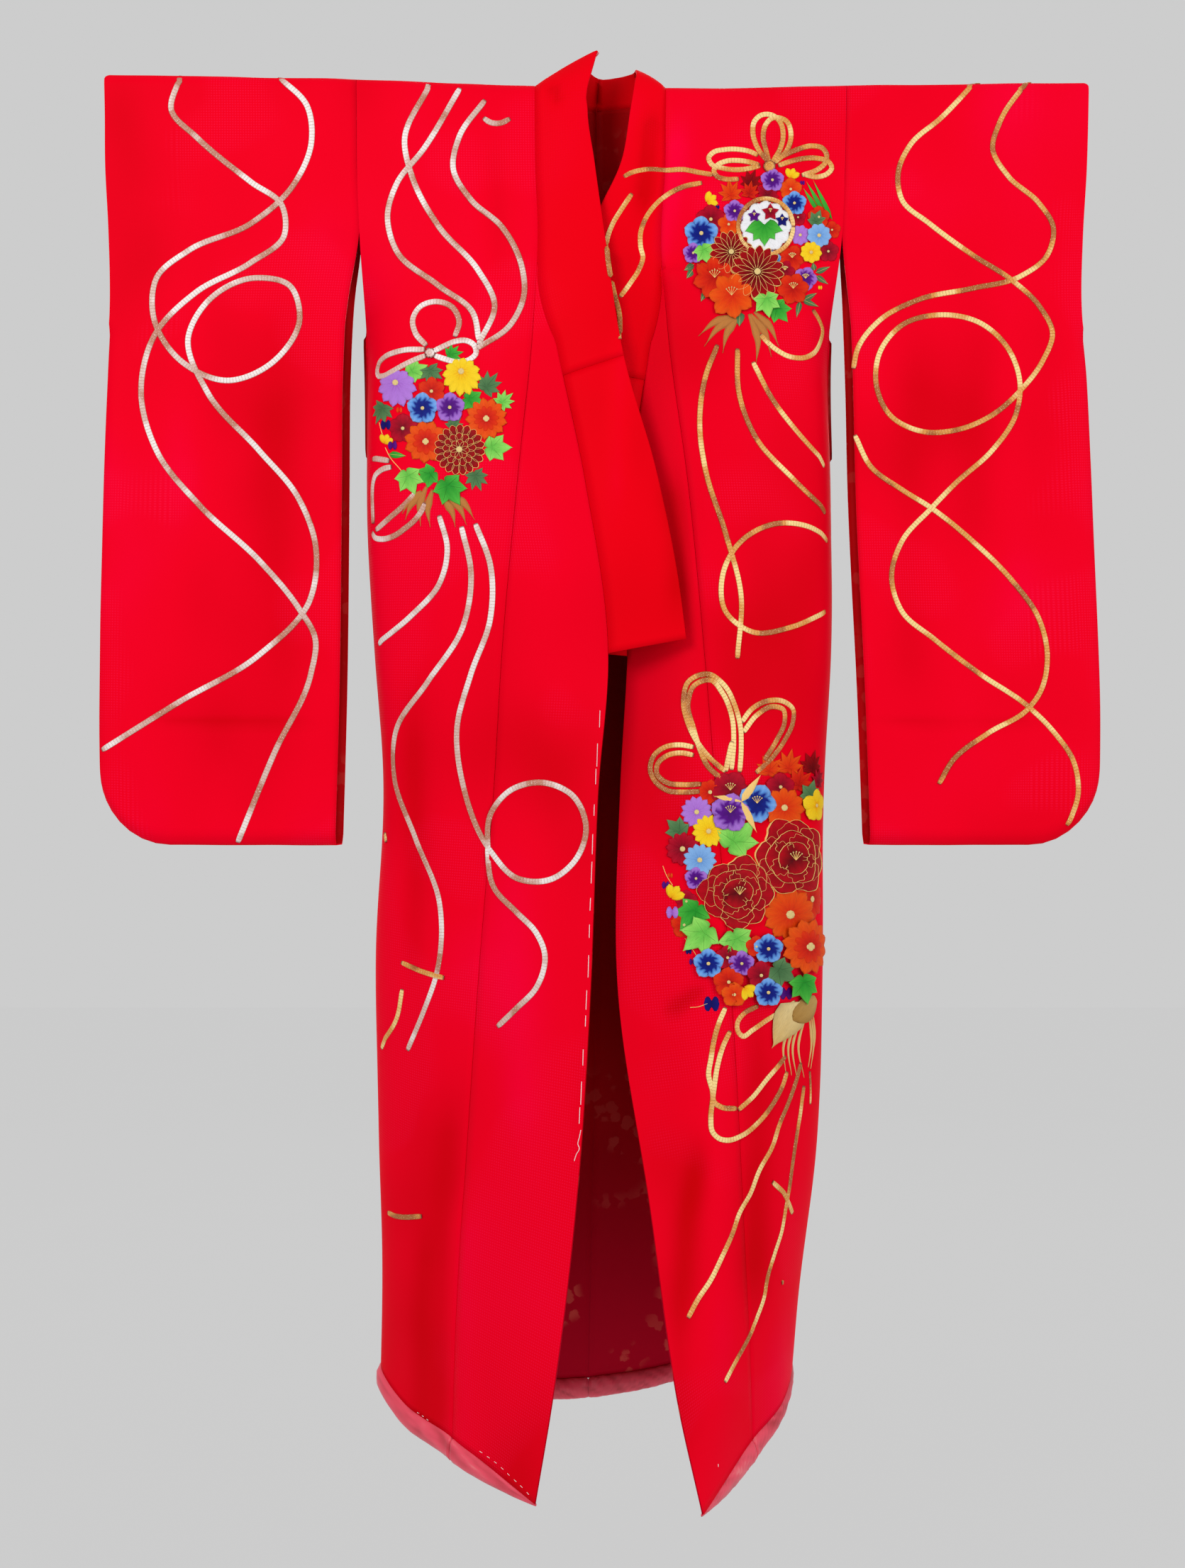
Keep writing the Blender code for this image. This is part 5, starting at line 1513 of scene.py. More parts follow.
silver_body = Needlework()
cords(silver_body, (
    ((-22.6, 0.3), (-26, 7.9), (-25, 12.7), (-21.3, 19.6), (-16, 25.5), (-13.8, 30.1), (-16, 35.6)),
    ((-18.5, 0.8), (-23.4, 9), (-27.1, 13.8), (-28.3, 18), (-27.1, 22.8), (-21.3, 27.6), (-16.7, 31.3),
     (-15.9, 35)),
    ((-15.1, 2.4), (-18.6, 7.4), (-19.4, 11.7), (-17, 15.9), (-12.8, 19.6), (-10.1, 25), (-9.8, 28.7),
     (-11.7, 32.9), (-16.2, 36.1)),
    ((-23, 35.7), (-24.5, 34), (-24.9, 32.2), (-24, 30.5), (-21.7, 29.7), (-19.5, 30.5), (-18.6, 32.4),
     (-19.2, 34.5)),
    ((-22.2, 36.5), (-20.8, 35.8), (-19.1, 35.1), (-17.6, 35), (-16.5, 35.7), (-16.3, 36.7), (-17.1, 37.5),
     (-18.8, 37.9), (-20.5, 37.5), (-22, 37)),
    ((-23.2, 36.2), (-24.3, 36.2), (-25.3, 36.2), (-27, 36.5), (-28.5, 37.1), (-29.6, 38.3), (-29.9, 39.3),
     (-29.6, 39.8), (-28.9, 39.8), (-27.7, 39.2), (-26.1, 38.3), (-24.4, 37.5), (-23.1, 37)),
    ((-15.3, 4.8), (-14.4, 5.4), (-13, 5.5), (-11.7, 4.9)),
    ((-30.7, 51.1), (-30.1, 51), (-29.2, 51.1), (-28, 51.3)),
    ((-27.7, 52.1), (-28.9, 52.4), (-29.9, 53.2), (-30.5, 54.3), (-30.7, 55.9), (-30.6, 57.8), (-30.5, 59.8)),
    ((-24.5, 55.6), (-25.3, 56.5), (-26.5, 57.7), (-28, 59), (-29.9, 60.7)),
    ((-23.2, 57), (-23.7, 58.1), (-24.6, 59.3), (-26, 60.5), (-27.5, 61.5), (-28.9, 61.9), (-30.1, 61.7),
     (-30.8, 61)),
    ((-21.3, 58.7), (-20.2, 63.2), (-21.3, 68), (-25, 72.2), (-29.8, 76.2)),
    ((-18.3, 60.2), (-17, 66.4), (-18.1, 73.8), (-22.9, 81.3), (-27.1, 87.7), (-27.4, 94), (-24.5, 102.5),
     (-21.3, 111), (-21.6, 120.6), (-23.4, 125.9), (-25.6, 131.2)),
    ((-16.4, 59.8), (-14.4, 65.3), (-14.4, 72.8), (-17, 80.2), (-18.9, 87.7), (-18.1, 95.1), (-14.4, 104.1),
     (-10.7, 107.9), (-6.4, 108.1), (-2.7, 105.2), (-1.4, 100.9), (-3.2, 96.7), (-7.5, 94.9), (-11.7, 96),
     (-14.4, 99.4), (-14.7, 103.7), (-13.9, 109.1), (-10.7, 112.6), (-8.2, 115.2), (-7, 118.1), (-8.2, 122.8),
     (-10.7, 125.4), (-13.4, 128)),
), SILVER_WIDE)
wraps(silver_body, (-22.5, 36.7), (0.2, 1.1, 2.2), 0.7, 0.7, 0.0016)
silver_body.made("silver_cords_right_body", [SILVER], "silver_thread")

ball = Needlework()
plant(ball, (
    (maple, (-19.8, 36.9), 1.46, GREEN, -0.2), (ivy, (-24.9, 39.2), 1.80, LIME, -0.4),
    (maple, (-22.5, 39.1), 1.80, MOSS, 1.2), (maple, (-14.9, 41.3), 1.97, MOSS, -0.9),
    (maple, (-12.8, 43.4), 1.58, LIME, -0.7), (ivy, (-17.2, 43), 1.80, GREEN, 0.3),
    (maple, (-29, 44.2), 1.89, MOSS, 2), (maple, (-19.5, 46.6), 1.37, MOSS, -0.8),
    (maple, (-16.4, 53.3), 1.80, MOSS, 1.2), (ivy, (-14.1, 49.5), 2.15, LIME, 0),
    (daisy, (-26.9, 41.5), 2.49, 11, LILAC, (-27.2, 40.7)),
    (daisy, (-18.2, 40), 2.54, 12, YELLOW, (-18.3, 39.2)), (blossom, (-22.3, 41.9), 1.85, FLAME, 6),
    (blossom, (-26.2, 46.9), 1.92, CRIMSON), (daisy, (-14.9, 45.6), 2.75, 13, ORANGE, None, 0.2, FLAME),
    (daisy, (-23.1, 48.7), 2.83, 11, ORANGE, None, 0.5, FLAME), (blossom, (-23.5, 44.2), 2.02, BLUE),
    (blossom, (-19.8, 44.1), 1.92, VIOLET), (chrysanthemum, (-18.5, 49.8), 3.43),
    (bud, (-26.7, 44.4), 0.41, ORANGE), (bud, (-28.5, 46.4), 0.72, NAVY),
    (winged_bud, (-28.7, 48.9), 0.89, YELLOW, -1.2), (bud, (-27.6, 49.2), 0.63, PURPLE),
    (leaf, (-28.1, 50.4), 0.1, 2.40, 0.94, GREEN), (ivy, (-22.5, 53.1), 1.80, GREEN, 2.6),
    (ivy, (-25.5, 53.4), 2.15, LIME, 1.2), (ivy, (-20.1, 54.7), 2.49, GREEN, 1),
    (stem, ((-29.4, 46.1), (-29.2, 47), (-29, 47.7))),
    (stem, ((-28.6, 49.5), (-27.9, 50.9), (-26.7, 52.3), (-24.6, 55.2))),
))
straws(ball, ((-23.7, 55.4), (-23.5, 55.5), (-23, 54.7), (-22.2, 55.2), (-21, 56.2), (-20.3, 55.9), (-19.8, 55.8)),
       ((-26.3, 58.5), (-25.9, 59.3), (-23.8, 60.2), (-22.5, 60.3), (-19.1, 60.3), (-17.6, 60),
        (-16.5, 59.3)))
ball.made("flower_ball_right_breast", [FLOSS, GOLD_LINE], "flower_silk")

# ---- the wearer's left side: gold -------------------------------------------------------------------------
gold_sleeve = Needlework()
cords(gold_sleeve, (
    ((52, -0.8), (46.7, 4.8), (42.5, 8.5), (40.9, 12.2), (41.4, 15.9), (45.1, 19.1), (51, 23.4), (56.3, 26.8),
     (60, 30.3), (61.8, 34), (60.5, 37.7), (57.6, 41.6), (53.6, 45.1), (48.8, 47.1), (44.1, 47.3),
     (39.8, 45.1), (38, 41.4), (38.4, 36.6), (41.4, 32.9), (46.7, 31.5), (52, 32.6), (55.8, 36.1),
     (57.4, 40.9), (56.8, 45.1), (53.6, 49.9), (48.8, 54.2), (45.4, 57.7), (41.4, 62.2), (40, 66.9),
     (41.4, 71.7), (45.7, 75.4), (52, 80.2), (58.4, 84.5), (62.1, 88.2), (64.6, 91.9), (65.3, 96.2),
     (63.9, 100.9)),
    ((58.9, -0.8), (54.7, 5.3), (53.7, 9), (55.8, 12.7), (60, 16.4), (61.9, 19.6), (61.1, 23.4), (57.4, 26.3),
     (51, 27.9), (43.5, 29.5), (38.2, 32.4), (35.4, 36.1), (34.8, 38.8)),
    ((35, 47.8), (37.2, 52.1), (41.4, 55.2), (45.4, 57.7), (51, 62.2), (56.3, 67.5), (60, 72.8), (61.1, 78.1),
     (60, 82.9), (58.4, 85), (53.1, 88.2), (48.3, 91.9), (46.4, 95.1)),
), GOLD_WIDE)
gold_sleeve.made("gold_cords_left_sleeve", [GOLD], "gold_thread")

gold_body = Needlework()
cords(gold_body, (
    ((23.6, 10.9), (22.9, 10.3), (21.7, 8.6), (21.2, 6.8), (21.4, 5.3), (22.2, 4.5), (23.2, 4.3), (24.3, 4.7),
     (25.1, 5.8), (25.3, 7.3), (24.9, 9), (23.8, 10.9)),
    ((23.4, 10.9), (23, 9.3), (22.6, 7.4), (22.9, 5.8), (23.7, 4.9), (24.8, 4.8), (25.8, 5.3), (26.3, 6.5),
     (26.3, 7.9), (25.6, 9.5), (24.1, 10.9)),
    ((22.1, 11.2), (20.7, 10.8), (19.3, 10.6), (17.5, 10.7), (16.4, 11.2), (15.9, 12), (16.3, 12.7),
     (17.4, 13.1), (19.3, 13.1)),
    ((21.9, 9.9), (20.9, 9.4), (19.5, 9.1), (17.4, 9.1), (15.8, 9.5), (15.2, 10.2), (15.6, 11.1), (17, 11.6),
     (19.8, 11.8), (22.2, 11.3)),
    ((24.4, 10.4), (25.8, 9.7), (27.2, 9.1), (29.3, 8.6), (30.6, 8.9), (31.2, 9.8), (31, 10.9), (30, 11.8),
     (27.8, 12.6)),
    ((24.6, 11.3), (26.3, 10.7), (28.1, 10.3), (30, 10.3), (31.5, 10.8), (31.9, 11.6), (31.4, 12.3),
     (30, 12.8), (28.1, 12.5)),
    ((3.7, 12.8), (4.4, 12.4), (6.7, 11.8), (9.5, 11.9), (11.8, 11.8), (13.9, 12.2), (15.8, 12.5)),
    ((14.3, 13.6), (11.9, 14.1), (9.8, 15.1), (8.1, 16.5), (6.7, 18.4), (6, 20.3), (6, 22.4), (6.3, 23.7),
     (5.8, 25.3), (4.6, 27.2), (3.2, 29.1)),
    ((4.8, 15.1), (3.4, 17.2), (2.2, 19.2), (1.4, 21.7), (1.5, 23.4), (1.9, 26.2), (2.5, 28.9), (3.1, 31.3),
     (3.2, 34.8)),
    ((29.3, 30.8), (30.2, 32.3), (30.7, 34.2), (30.1, 36), (28.6, 37.2), (26.3, 37.2), (24.2, 36.1),
     (22.2, 34.2)),
    ((16.4, 35.6), (14.8, 39.8), (14, 46.2), (14.8, 52.6), (17.5, 61.1), (19.6, 69.6), (19.1, 78.1)),
    ((19.1, 36.1), (19.3, 42), (21.7, 48.3), (26.5, 53.6), (31.5, 58.4)),
    ((21.2, 37.9), (23.9, 43), (27.6, 47.8), (31.5, 52.1)),
    ((32.1, 62.2), (28.7, 60.2), (24.4, 59.8), (19.6, 62.2), (17.2, 66.4), (17.5, 71.7), (21.2, 74.5),
     (26.5, 73.8), (31.3, 71.7)),
    ((17.5, 93.4), (15.7, 91.9), (13.6, 89.3), (12.4, 86.8), (11.8, 83.9), (12.5, 81.2), (15.2, 80.2),
     (17.3, 81.7), (18.8, 84.6), (19.5, 87.4), (19.6, 90.3), (19.4, 93.5)),
    ((17, 94.4), (15.1, 92.7), (14, 90.3), (13.1, 87.4), (12.4, 84.2), (13.3, 81.7), (15.5, 81), (17.1, 82.8),
     (18.4, 86.2), (18.6, 89.3), (18.3, 93.2)),
    ((13.2, 90.1), (11.3, 89.8), (9.3, 90.1), (7.7, 91.4), (7.3, 93.2), (8.1, 94.9), (9.7, 96), (11.9, 96.2),
     (14, 96.1)),
    ((13.2, 91.2), (11.6, 90.9), (9.7, 91.2), (8.3, 92.4), (8.2, 93.7), (9.3, 94.8), (11.9, 95.2),
     (14.2, 95.1)),
    ((19.7, 86.7), (21.1, 84.9), (23.4, 83.8), (25.3, 83.9), (26.6, 84.9), (26.6, 86.8), (25.6, 89),
     (24, 91.3), (21.6, 93.6)),
    ((19.9, 88.1), (21.8, 85.7), (23.8, 84.6), (25.3, 85), (25.5, 86.6), (24.5, 89), (22.7, 91.9)),
    ((17.5, 93.4), (17.8, 91.9), (18.2, 90.1), (18.4, 89.3)),
    ((17.5, 125.4), (16.6, 127.5), (15.9, 130), (15.5, 132.5), (15.2, 134.5), (15.7, 136.6), (16, 138.3),
     (16.9, 138.9), (19, 139.1)),
    ((19.2, 139.3), (21.1, 137.6), (23.1, 135.1), (24.8, 133.1), (25.6, 132)),
    ((18.1, 128.6), (17.1, 130.8), (16.4, 133.3), (16, 135.8), (15.7, 138.3), (15.5, 140.3), (15.8, 142.4),
     (16.7, 143.2), (17.7, 143.4), (19.8, 142.7), (21.9, 141), (24, 138.3), (25.2, 136), (25.8, 134.1)),
    ((21.9, 125.2), (20, 126.2), (19.1, 127.5), (19.2, 128.7), (19.8, 129.3), (21.1, 128.5), (23.1, 127.1),
     (25.6, 125.6), (26.9, 124.6)),
    ((27.7, 132.9), (26.9, 135.8), (26, 138.3), (24.8, 141.2), (23.8, 144.3), (22.1, 147.4), (20.8, 150.7),
     (19.4, 153.2), (18.4, 156.1), (17.1, 159), (15.5, 162.3), (13.6, 165.2), (12.4, 167.5)),
    ((23.8, 149), (26, 151.1), (28, 153.3)),
    ((28.1, 136), (27.7, 139.1), (27.3, 142.4), (27, 146.1), (26.7, 149.9), (26.2, 152.4), (25.6, 155.7),
     (24.4, 158.6), (23.2, 161.9), (22.7, 165.2), (21.9, 167.3), (20.6, 170.2), (18.8, 173.5), (17.4, 176.2)),
    ((26.9, 162.8), (27.1, 162.7), (27.4, 162.7)),
    ((-26.4, 119.3), (-23.4, 120.6), (-20.6, 121.4)),
    ((-26.3, 122.9), (-27.1, 127), (-29.6, 131)),
    ((-29.1, 153.2), (-26.4, 153.8), (-23.6, 153.7)),
    ((-29.3, 101.7), (-28.8, 103)),
), GOLD_WIDE)
wraps(gold_body, (23.4, 11.4), (0.1, 0.9, 2, 2.8), 0.8, 0.75, 0.0018)
gold_body.made("gold_cords_left_body", [GOLD], "gold_thread")

ball = Needlework()
straws(ball, ((18.8, 31.6), (19.3, 31.6), (19.4, 31.6), (20.7, 31.4), (20.9, 31.4), (21.4, 31.1)),
       ((13.8, 34.4), (14.6, 35.8), (17.1, 36.7), (21.6, 38.4), (23.7, 37.2), (24.7, 35.8)))
plant(ball, (
    (maple, (20.8, 13.7), 1.68, WINE, -1.2), (maple, (18.2, 15.3), 1.82, ORANGE, -1.7),
    (maple, (20.7, 15.1), 1.44, FLAME, -1.4), (ivy, (23.2, 15.3), 1.75, CRIMSON, -1.6),
    (winged_bud, (15, 16.2), 1.02, YELLOW, -0.6), (bud, (16.4, 16.9), 0.30, NAVY),
    (winged_bud, (26.3, 12.9), 0.93, YELLOW, -1.2), (bud, (27.9, 13.6), 0.33, PURPLE),
    (blossom, (26.3, 14.5), 1.49, ORANGE), (blossom, (23.8, 13.3), 1.54, VIOLET),
    (blossom, (15.5, 18.6), 1.91, CRIMSON), (blossom, (17.9, 19.3), 1.44, ORANGE),
    (blossom, (18.7, 17.5), 1.44, VIOLET), (blossom, (14.2, 20.5), 2.21, BLUE),
    (blossom, (13.1, 23.2), 1.35, VIOLET), (ivy, (14.5, 22.8), 1.68, LIME, 1.2),
    (leaf, (13.2, 24.7), 2.6, 1.63, 0.98, MOSS), (leaf, (13, 25.5), 2.2, 1.40, 0.88, MOSS),
))
for root, tip in zip(((30, 17.4), (30.8, 17.6), (31.9, 18.6)), ((28, 14.3), (28.4, 13.4), (29.3, 13.2))):
    leaf(ball, root, toward(root, tip), math.dist(root, tip), 0.62, GREEN, False)
plant(ball, (
    (blossom, (30.1, 18.3), 1.44, FLAME), (blossom, (31.9, 20), 1.16, FLAME),
    (blossom, (27.3, 18.3), 1.05, CRIMSON), (ivy, (29.7, 18.9), 1.35, MOSS, -1.2),
    (blossom, (26.8, 16.4), 1.58, BLUE), (daisy, (27.6, 20.7), 1.35, 9, LILAC),
    (blossom, (31.4, 22.9), 1.40, CRIMSON), (daisy, (30.1, 20.8), 1.63, 9, SKY),
    (blossom, (26.5, 23.8), 1.68, FLAME, 5, -1.2, 0.1, True), (daisy, (29, 23.1), 1.44, 9, YELLOW),
    (blossom, (25.5, 25.5), 1.30, CRIMSON, 5, -1.2, 0.1, True),
))
LEAF_UNIT = 0.0233  # cm
ROUNDEL = (22.9, 19.6)
height = ball.height_over(ROUNDEL, 3.49)
for k in range(12):
    ball.patch(ROUNDEL, 2 * math.pi * k / 12, 3.68, 2.61, full_petal, height, WHITE_SILK, 0.0002)
ring = [(ROUNDEL[0] + 3.72 * math.cos(a), ROUNDEL[1] + 3.79 * math.sin(a))
        for a in np.linspace(0, 2 * math.pi, 49)]
ball.strip(ring, 0.66, height + 0.0004, 2, 0.0008, strands=3, step=0.25)
for lean, reach in ((-1.25, 118), (-0.62, 110), (0, 130), (0.62, 118), (1.25, 124)):
    ball.patch((22.7, 19.4), math.pi / 2 + lean, reach * LEAF_UNIT, 2.05, leaf_lobe, height + 0.0008, GREEN)
for spot, size, dyes in (((23.5, 17.7), 1.26, CRIMSON), ((21.3, 18.2), 0.93, PURPLE), ((25.1, 18.8), 0.98, NAVY)):
    for k in range(5):
        ball.patch(spot, -math.pi / 2 + 2 * math.pi * k / 5, size, size * 0.8, star_lobe, height + 0.0012, dyes,
                   0.0003)
    stamens(ball, spot, size * 0.35, height + 0.0016, -math.pi / 2, 3)
plant(ball, (
    (blossom, (23.8, 24), 1.16, BLUE), (chrysanthemum, (18.2, 23.1), 2.91, ((15, 0.14, 1),)),
    (chrysanthemum, (21.7, 25.8), 3.61, ((16, 0.14, 1),)),
    (blossom, (28.3, 26.6), 1.54, VIOLET, 5, -1.2, 0.1, True),
))
for root, turn, reach in (((29.7, 25.8), -0.4, 96), ((29.7, 26.2), 0.6, 92), ((28.1, 29.5), -0.5, 90),
                          ((27.9, 29.5), 0.4, 105), ((27.6, 29.7), 1.8, 100), ((29.5, 25.5), -1.7, 50),
                          ((14.8, 28.3), 2, 70)):
    leaf(ball, root, turn, reach * LEAF_UNIT, 0.79, MOSS)
plant(ball, (
    (bud, (30.3, 27.8), 0.28, YELLOW), (ivy, (24.4, 30.6), 1.91, GREEN, 0.9),
    (ivy, (22.9, 29.5), 2.05, LIME, 1.4), (blossom, (26.6, 28), 2.05, FLAME, 6, -1.2, 0.1, True),
    (leaf, (19.1, 31.4), 2.6, 2.10, 1.16, MOSS), (leaf, (19.4, 31.1), 1.6, 2.10, 1.40, MOSS),
    (blossom, (15.9, 26.6), 2.68, FLAME, 7, 0.2, 0.1, True),
    (blossom, (18.2, 29), 2.91, ORANGE, 7, 0.5, 0.1, True),
))
ball.made("flower_ball_left_breast", [FLOSS, GOLD_LINE, GOLD], "flower_silk")

ball = Needlework()
straws(ball, ((26.4, 127.5), (27.1, 127.1), (27.7, 126.8), (28.3, 126.6), (28.9, 126.6), (29.4, 126.6),
              (29.9, 126.6)),
       ((25.6, 134.1), (26.4, 134.6), (27.1, 134.9), (28.1, 134.9), (28.9, 133.5), (29.5, 133.7),
        (29.9, 132)),
       0.6, dye(226, 186, 116))
ball.strip(((29.3, 134), (29.7, 136.2), (29.9, 138.5)), 0.4, 0.0006, 2, 0.0004, strands=2)
ball.patch((27.3, 124.6), 2.1, 7.39, 4.36, leaf_lobe, 0.0022, SHELL, 0.0012, 0)
ball.patch((30, 124.2), 2.45, 4.77, 3.11, full_petal, 0.0030, SHELL_CAP, 0.0012, 0)
for spot, size, dyes in (((23.4, 93.3), 1.98, ORANGE), ((26, 92.9), 2.10, ORANGE), ((29.2, 92.9), 1.98, WINE),
                         ((27.3, 95.2), 2.10, FLAME), ((30.4, 94.8), 1.66, CRIMSON)):
    maple(ball, spot, size, dyes, -1.4)
plant(ball, (
    (blossom, (24.8, 95.5), 1.85, CRIMSON), (daisy, (25.3, 98.3), 2.68, 11, ORANGE),
    (ivy, (28.9, 96.7), 1.79, MOSS, -1.4), (blossom, (29.9, 98), 2.10, YELLOW),
    (daisy, (15.4, 96.2), 1.66, 8, FLAME), (daisy, (13.6, 98.9), 2.10, 13, LILAC),
    (daisy, (15.2, 101.5), 2.17, 13, YELLOW), (ivy, (11.3, 101.5), 1.85, MOSS, -2.4),
    (daisy, (11.7, 103.9), 2.23, 12, CRIMSON), (ivy, (18.6, 102.9), 3.12, LIME, -0.8),
    (daisy, (14, 105.4), 2.17, 13, SKY), (blossom, (13.5, 107.9), 1.47, VIOLET),
    (blossom, (12.2, 111), 1.47, CRIMSON),
))
TRIO = (19.5, 97.5)
for lean, dyes in ((-2.3, CRIMSON), (0.1, BLUE), (2.35, VIOLET)):
    blossom(ball, off(TRIO, lean, 2.1), 2.49, dyes, 5, lean, 0.1, True)
for tip in ((15.7, 96.7), (22.2, 93.7), (21.6, 101.8)):
    ball.patch(TRIO, toward(TRIO, tip), math.dist(TRIO, tip), 1.1, leaf_lobe, 0.0032, STRAW, 0.0008, 1)
plant(ball, (
    (blossom, (11.9, 114.2), 1.75, FLAME), (ivy, (13.3, 112.3), 2.68, GREEN, 2.2),
    (daisy, (29.4, 110.7), 2.68, 10, FLAME), (daisy, (26.2, 112.8), 3.57, 12, ORANGE),
    (peony, (26.4, 105.1), 5.67, 0.2), (peony, (18.9, 109.8), 5.26, 0.9),
    (ivy, (14.5, 115.2), 2.93, LIME, 2.4), (ivy, (18.7, 116.1), 2.74, LIME, 1.2),
    (stem, ((9, 106.2), (9.5, 107.5), (10.3, 108.8))),
    (stem, ((12, 116), (12.8, 117.2), (13.8, 118.7))),
    (stem, ((12.7, 125.4), (13.8, 125.3), (15.2, 124.8))),
))
for spot, size, dyes in (((10, 107.5), 0.35, ORANGE), ((9.4, 108.8), 0.54, PURPLE), ((10.3, 112.5), 0.86, LILAC),
                         ((12.5, 117.8), 0.41, NAVY), ((13, 119.2), 0.45, PURPLE),
                          ((15.6, 124.9), 1.08, NAVY),
                         ((18.4, 123.2), 0.45, YELLOW), ((25.7, 123.5), 0.89, PURPLE)):
    bud(ball, spot, size, dyes)
plant(ball, (
    (winged_bud, (10.2, 110.5), 1.28, YELLOW, -1), (blossom, (17.6, 118.6), 1.59, CRIMSON),
    (blossom, (15.1, 119.4), 1.91, BLUE), (blossom, (21.4, 117.1), 1.40, FLAME),
    (blossom, (19.4, 119.4), 1.66, VIOLET), (blossom, (23, 117.4), 1.91, BLUE),
    (blossom, (22, 121), 1.85, CRIMSON), (ivy, (24.3, 120.3), 2.23, MOSS, 0.6),
    (blossom, (17.7, 121.9), 1.91, FLAME), (blossom, (18.4, 123.6), 1.59, ORANGE),
    (winged_bud, (19.7, 122.7), 1.15, YELLOW, 0.8), (blossom, (22.9, 123.3), 1.85, BLUE),
    (daisy, (28.5, 117.1), 3.67, 12, ORANGE, None, 0.2, FLAME), (ivy, (27.6, 122), 2.36, GREEN, 1.4),
))
ball.made("flower_ball_left_hip", [FLOSS, GOLD_LINE, GOLD], "flower_silk")


# ---- the back: the same cords and flower balls, set across the shoulders and down the skirt ---------------
def flower_ball(work, at, reach, turn):
    """A round of leaves and flowers, overlapped from the rim to the middle, with two large flowers in it."""
    def spot(angle, share):
        return off(at, turn + angle, reach * share)

    greens = (MOSS, LIME, GREEN)
    for k in range(9):
        angle = k * 0.698
        ivy(work, spot(angle, 0.86), reach * (0.24 + 0.05 * (k % 2)), greens[k % 3], turn + angle)
    rim = (BLUE, FLAME, CRIMSON, VIOLET, ORANGE, BLUE, CRIMSON, FLAME)
    for k, dyes in enumerate(rim):
        blossom(work, spot(0.35 + k * 0.785, 0.78), reach * (0.20 + 0.03 * (k % 3)), dyes)
    inner = (YELLOW, ORANGE, LILAC, ORANGE, SKY)
    for k, dyes in enumerate(inner):
        daisy(work, spot(0.1 + k * 1.257, 0.50), reach * (0.27 + 0.04 * (k % 2)), 12, dyes, None, 0.3 * k,
              FLAME if dyes is ORANGE else None)
    for k, dyes in enumerate((NAVY, YELLOW, PURPLE, ORANGE)):
        bud(work, spot(0.5 + k * 1.571, 1.04), reach * 0.05, dyes)
    peony(work, spot(0.6, 0.22), reach * 0.44, turn)
    chrysanthemum(work, spot(3.6, 0.34), reach * 0.36)


back_silver = Needlework("back")
cords(back_silver, (
    ((-58, 2), (-52, 12), (-44, 20), (-46, 31), (-56, 38), (-60, 50), (-52, 61),
     (-43, 70), (-41, 81), (-48, 92), (-55, 98)),
    ((-46, 2), (-42, 11), (-47, 21), (-58, 28), (-61, 38), (-53, 46), (-44, 45),
     (-42, 36), (-49, 31), (-56, 40), (-54, 55), (-46, 66), (-40, 76)),
    ((-30, 3), (-24, 10), (-21, 20), (-14, 25)),
    ((-27, 2), (-19, 8), (-15, 17), (-9, 22)),
    ((-6, 24), (-12, 19), (-19, 21), (-18, 26), (-11, 26), (-6, 24)),
    ((-6, 24), (0, 19), (7, 20), (7, 25), (0, 26), (-6, 24)),
    ((-9, 60), (-14, 70), (-12, 82), (-19, 92), (-22, 104), (-16, 114), (-9, 113),
     (-9, 104), (-16, 102), (-22, 112), (-20, 126), (-12, 137)),
    ((-4, 61), (-6, 72), (-3, 84), (-9, 95), (-13, 106), (-9, 120), (-14, 132),
     (-21, 146), (-20, 160)),
), SILVER_WIDE)
back_silver.made("silver_cords_back", [SILVER], "silver_thread")

back_gold = Needlework("back")
cords(back_gold, (
    ((56, 2), (50, 13), (43, 22), (47, 33), (57, 41), (59, 52), (50, 62),
     (42, 72), (43, 84), (52, 93), (57, 99)),
    ((45, 2), (43, 12), (50, 20), (59, 28), (59, 38), (50, 44), (42, 48),
     (44, 58), (54, 66), (59, 77), (52, 88), (44, 96)),
    ((29, 4), (23, 12), (22, 23), (28, 33), (28, 46), (20, 56), (15, 66),
     (19, 77), (26, 86)),
    ((12, 92), (6, 80), (9, 69), (17, 68), (20, 79), (15, 90)),
    ((11, 92), (2, 86), (-3, 91), (1, 97), (9, 96)),
    ((16, 91), (23, 83), (29, 86), (27, 94), (19, 97)),
    ((9, 128), (5, 138), (8, 149), (2, 160), (-2, 170)),
    ((15, 129), (14, 141), (19, 152), (15, 163), (19, 174)),
    ((20, 127), (27, 136), (25, 147), (29, 157)),
), GOLD_WIDE)
back_gold.made("gold_cords_back", [GOLD], "gold_thread")

for title, centre, reach, turn in (("upper_back", (-4, 42), 17.5, 0.2), ("lower_back", (14, 111), 16.5, 1.1),
                                   ("back_hem", (-14, 152), 8.5, 2)):
    ball = Needlework("back")
    straws(ball, [(centre[0] + aside, centre[1] + reach * 0.85) for aside in (-3.0, -1.5, 0.0, 1.5, 3)],
           [(centre[0] + aside, centre[1] + reach * 1.22) for aside in (-8.0, -4.0, 0.5, 5, 9)])
    flower_ball(ball, centre, reach, turn)
    ball.made("flower_ball_" + title, [FLOSS, GOLD_LINE], "flower_silk")

# ---- white tacking thread ------------------------------------------------------------------------------------
tacking = Needlework()


def on_line(line, share):
    """The chart point at a share of a line's length."""
    points = [np.array(p) for p in line]
    run = lengths_along(points)
    return tuple(smooth(run, points, run[-1] * share))


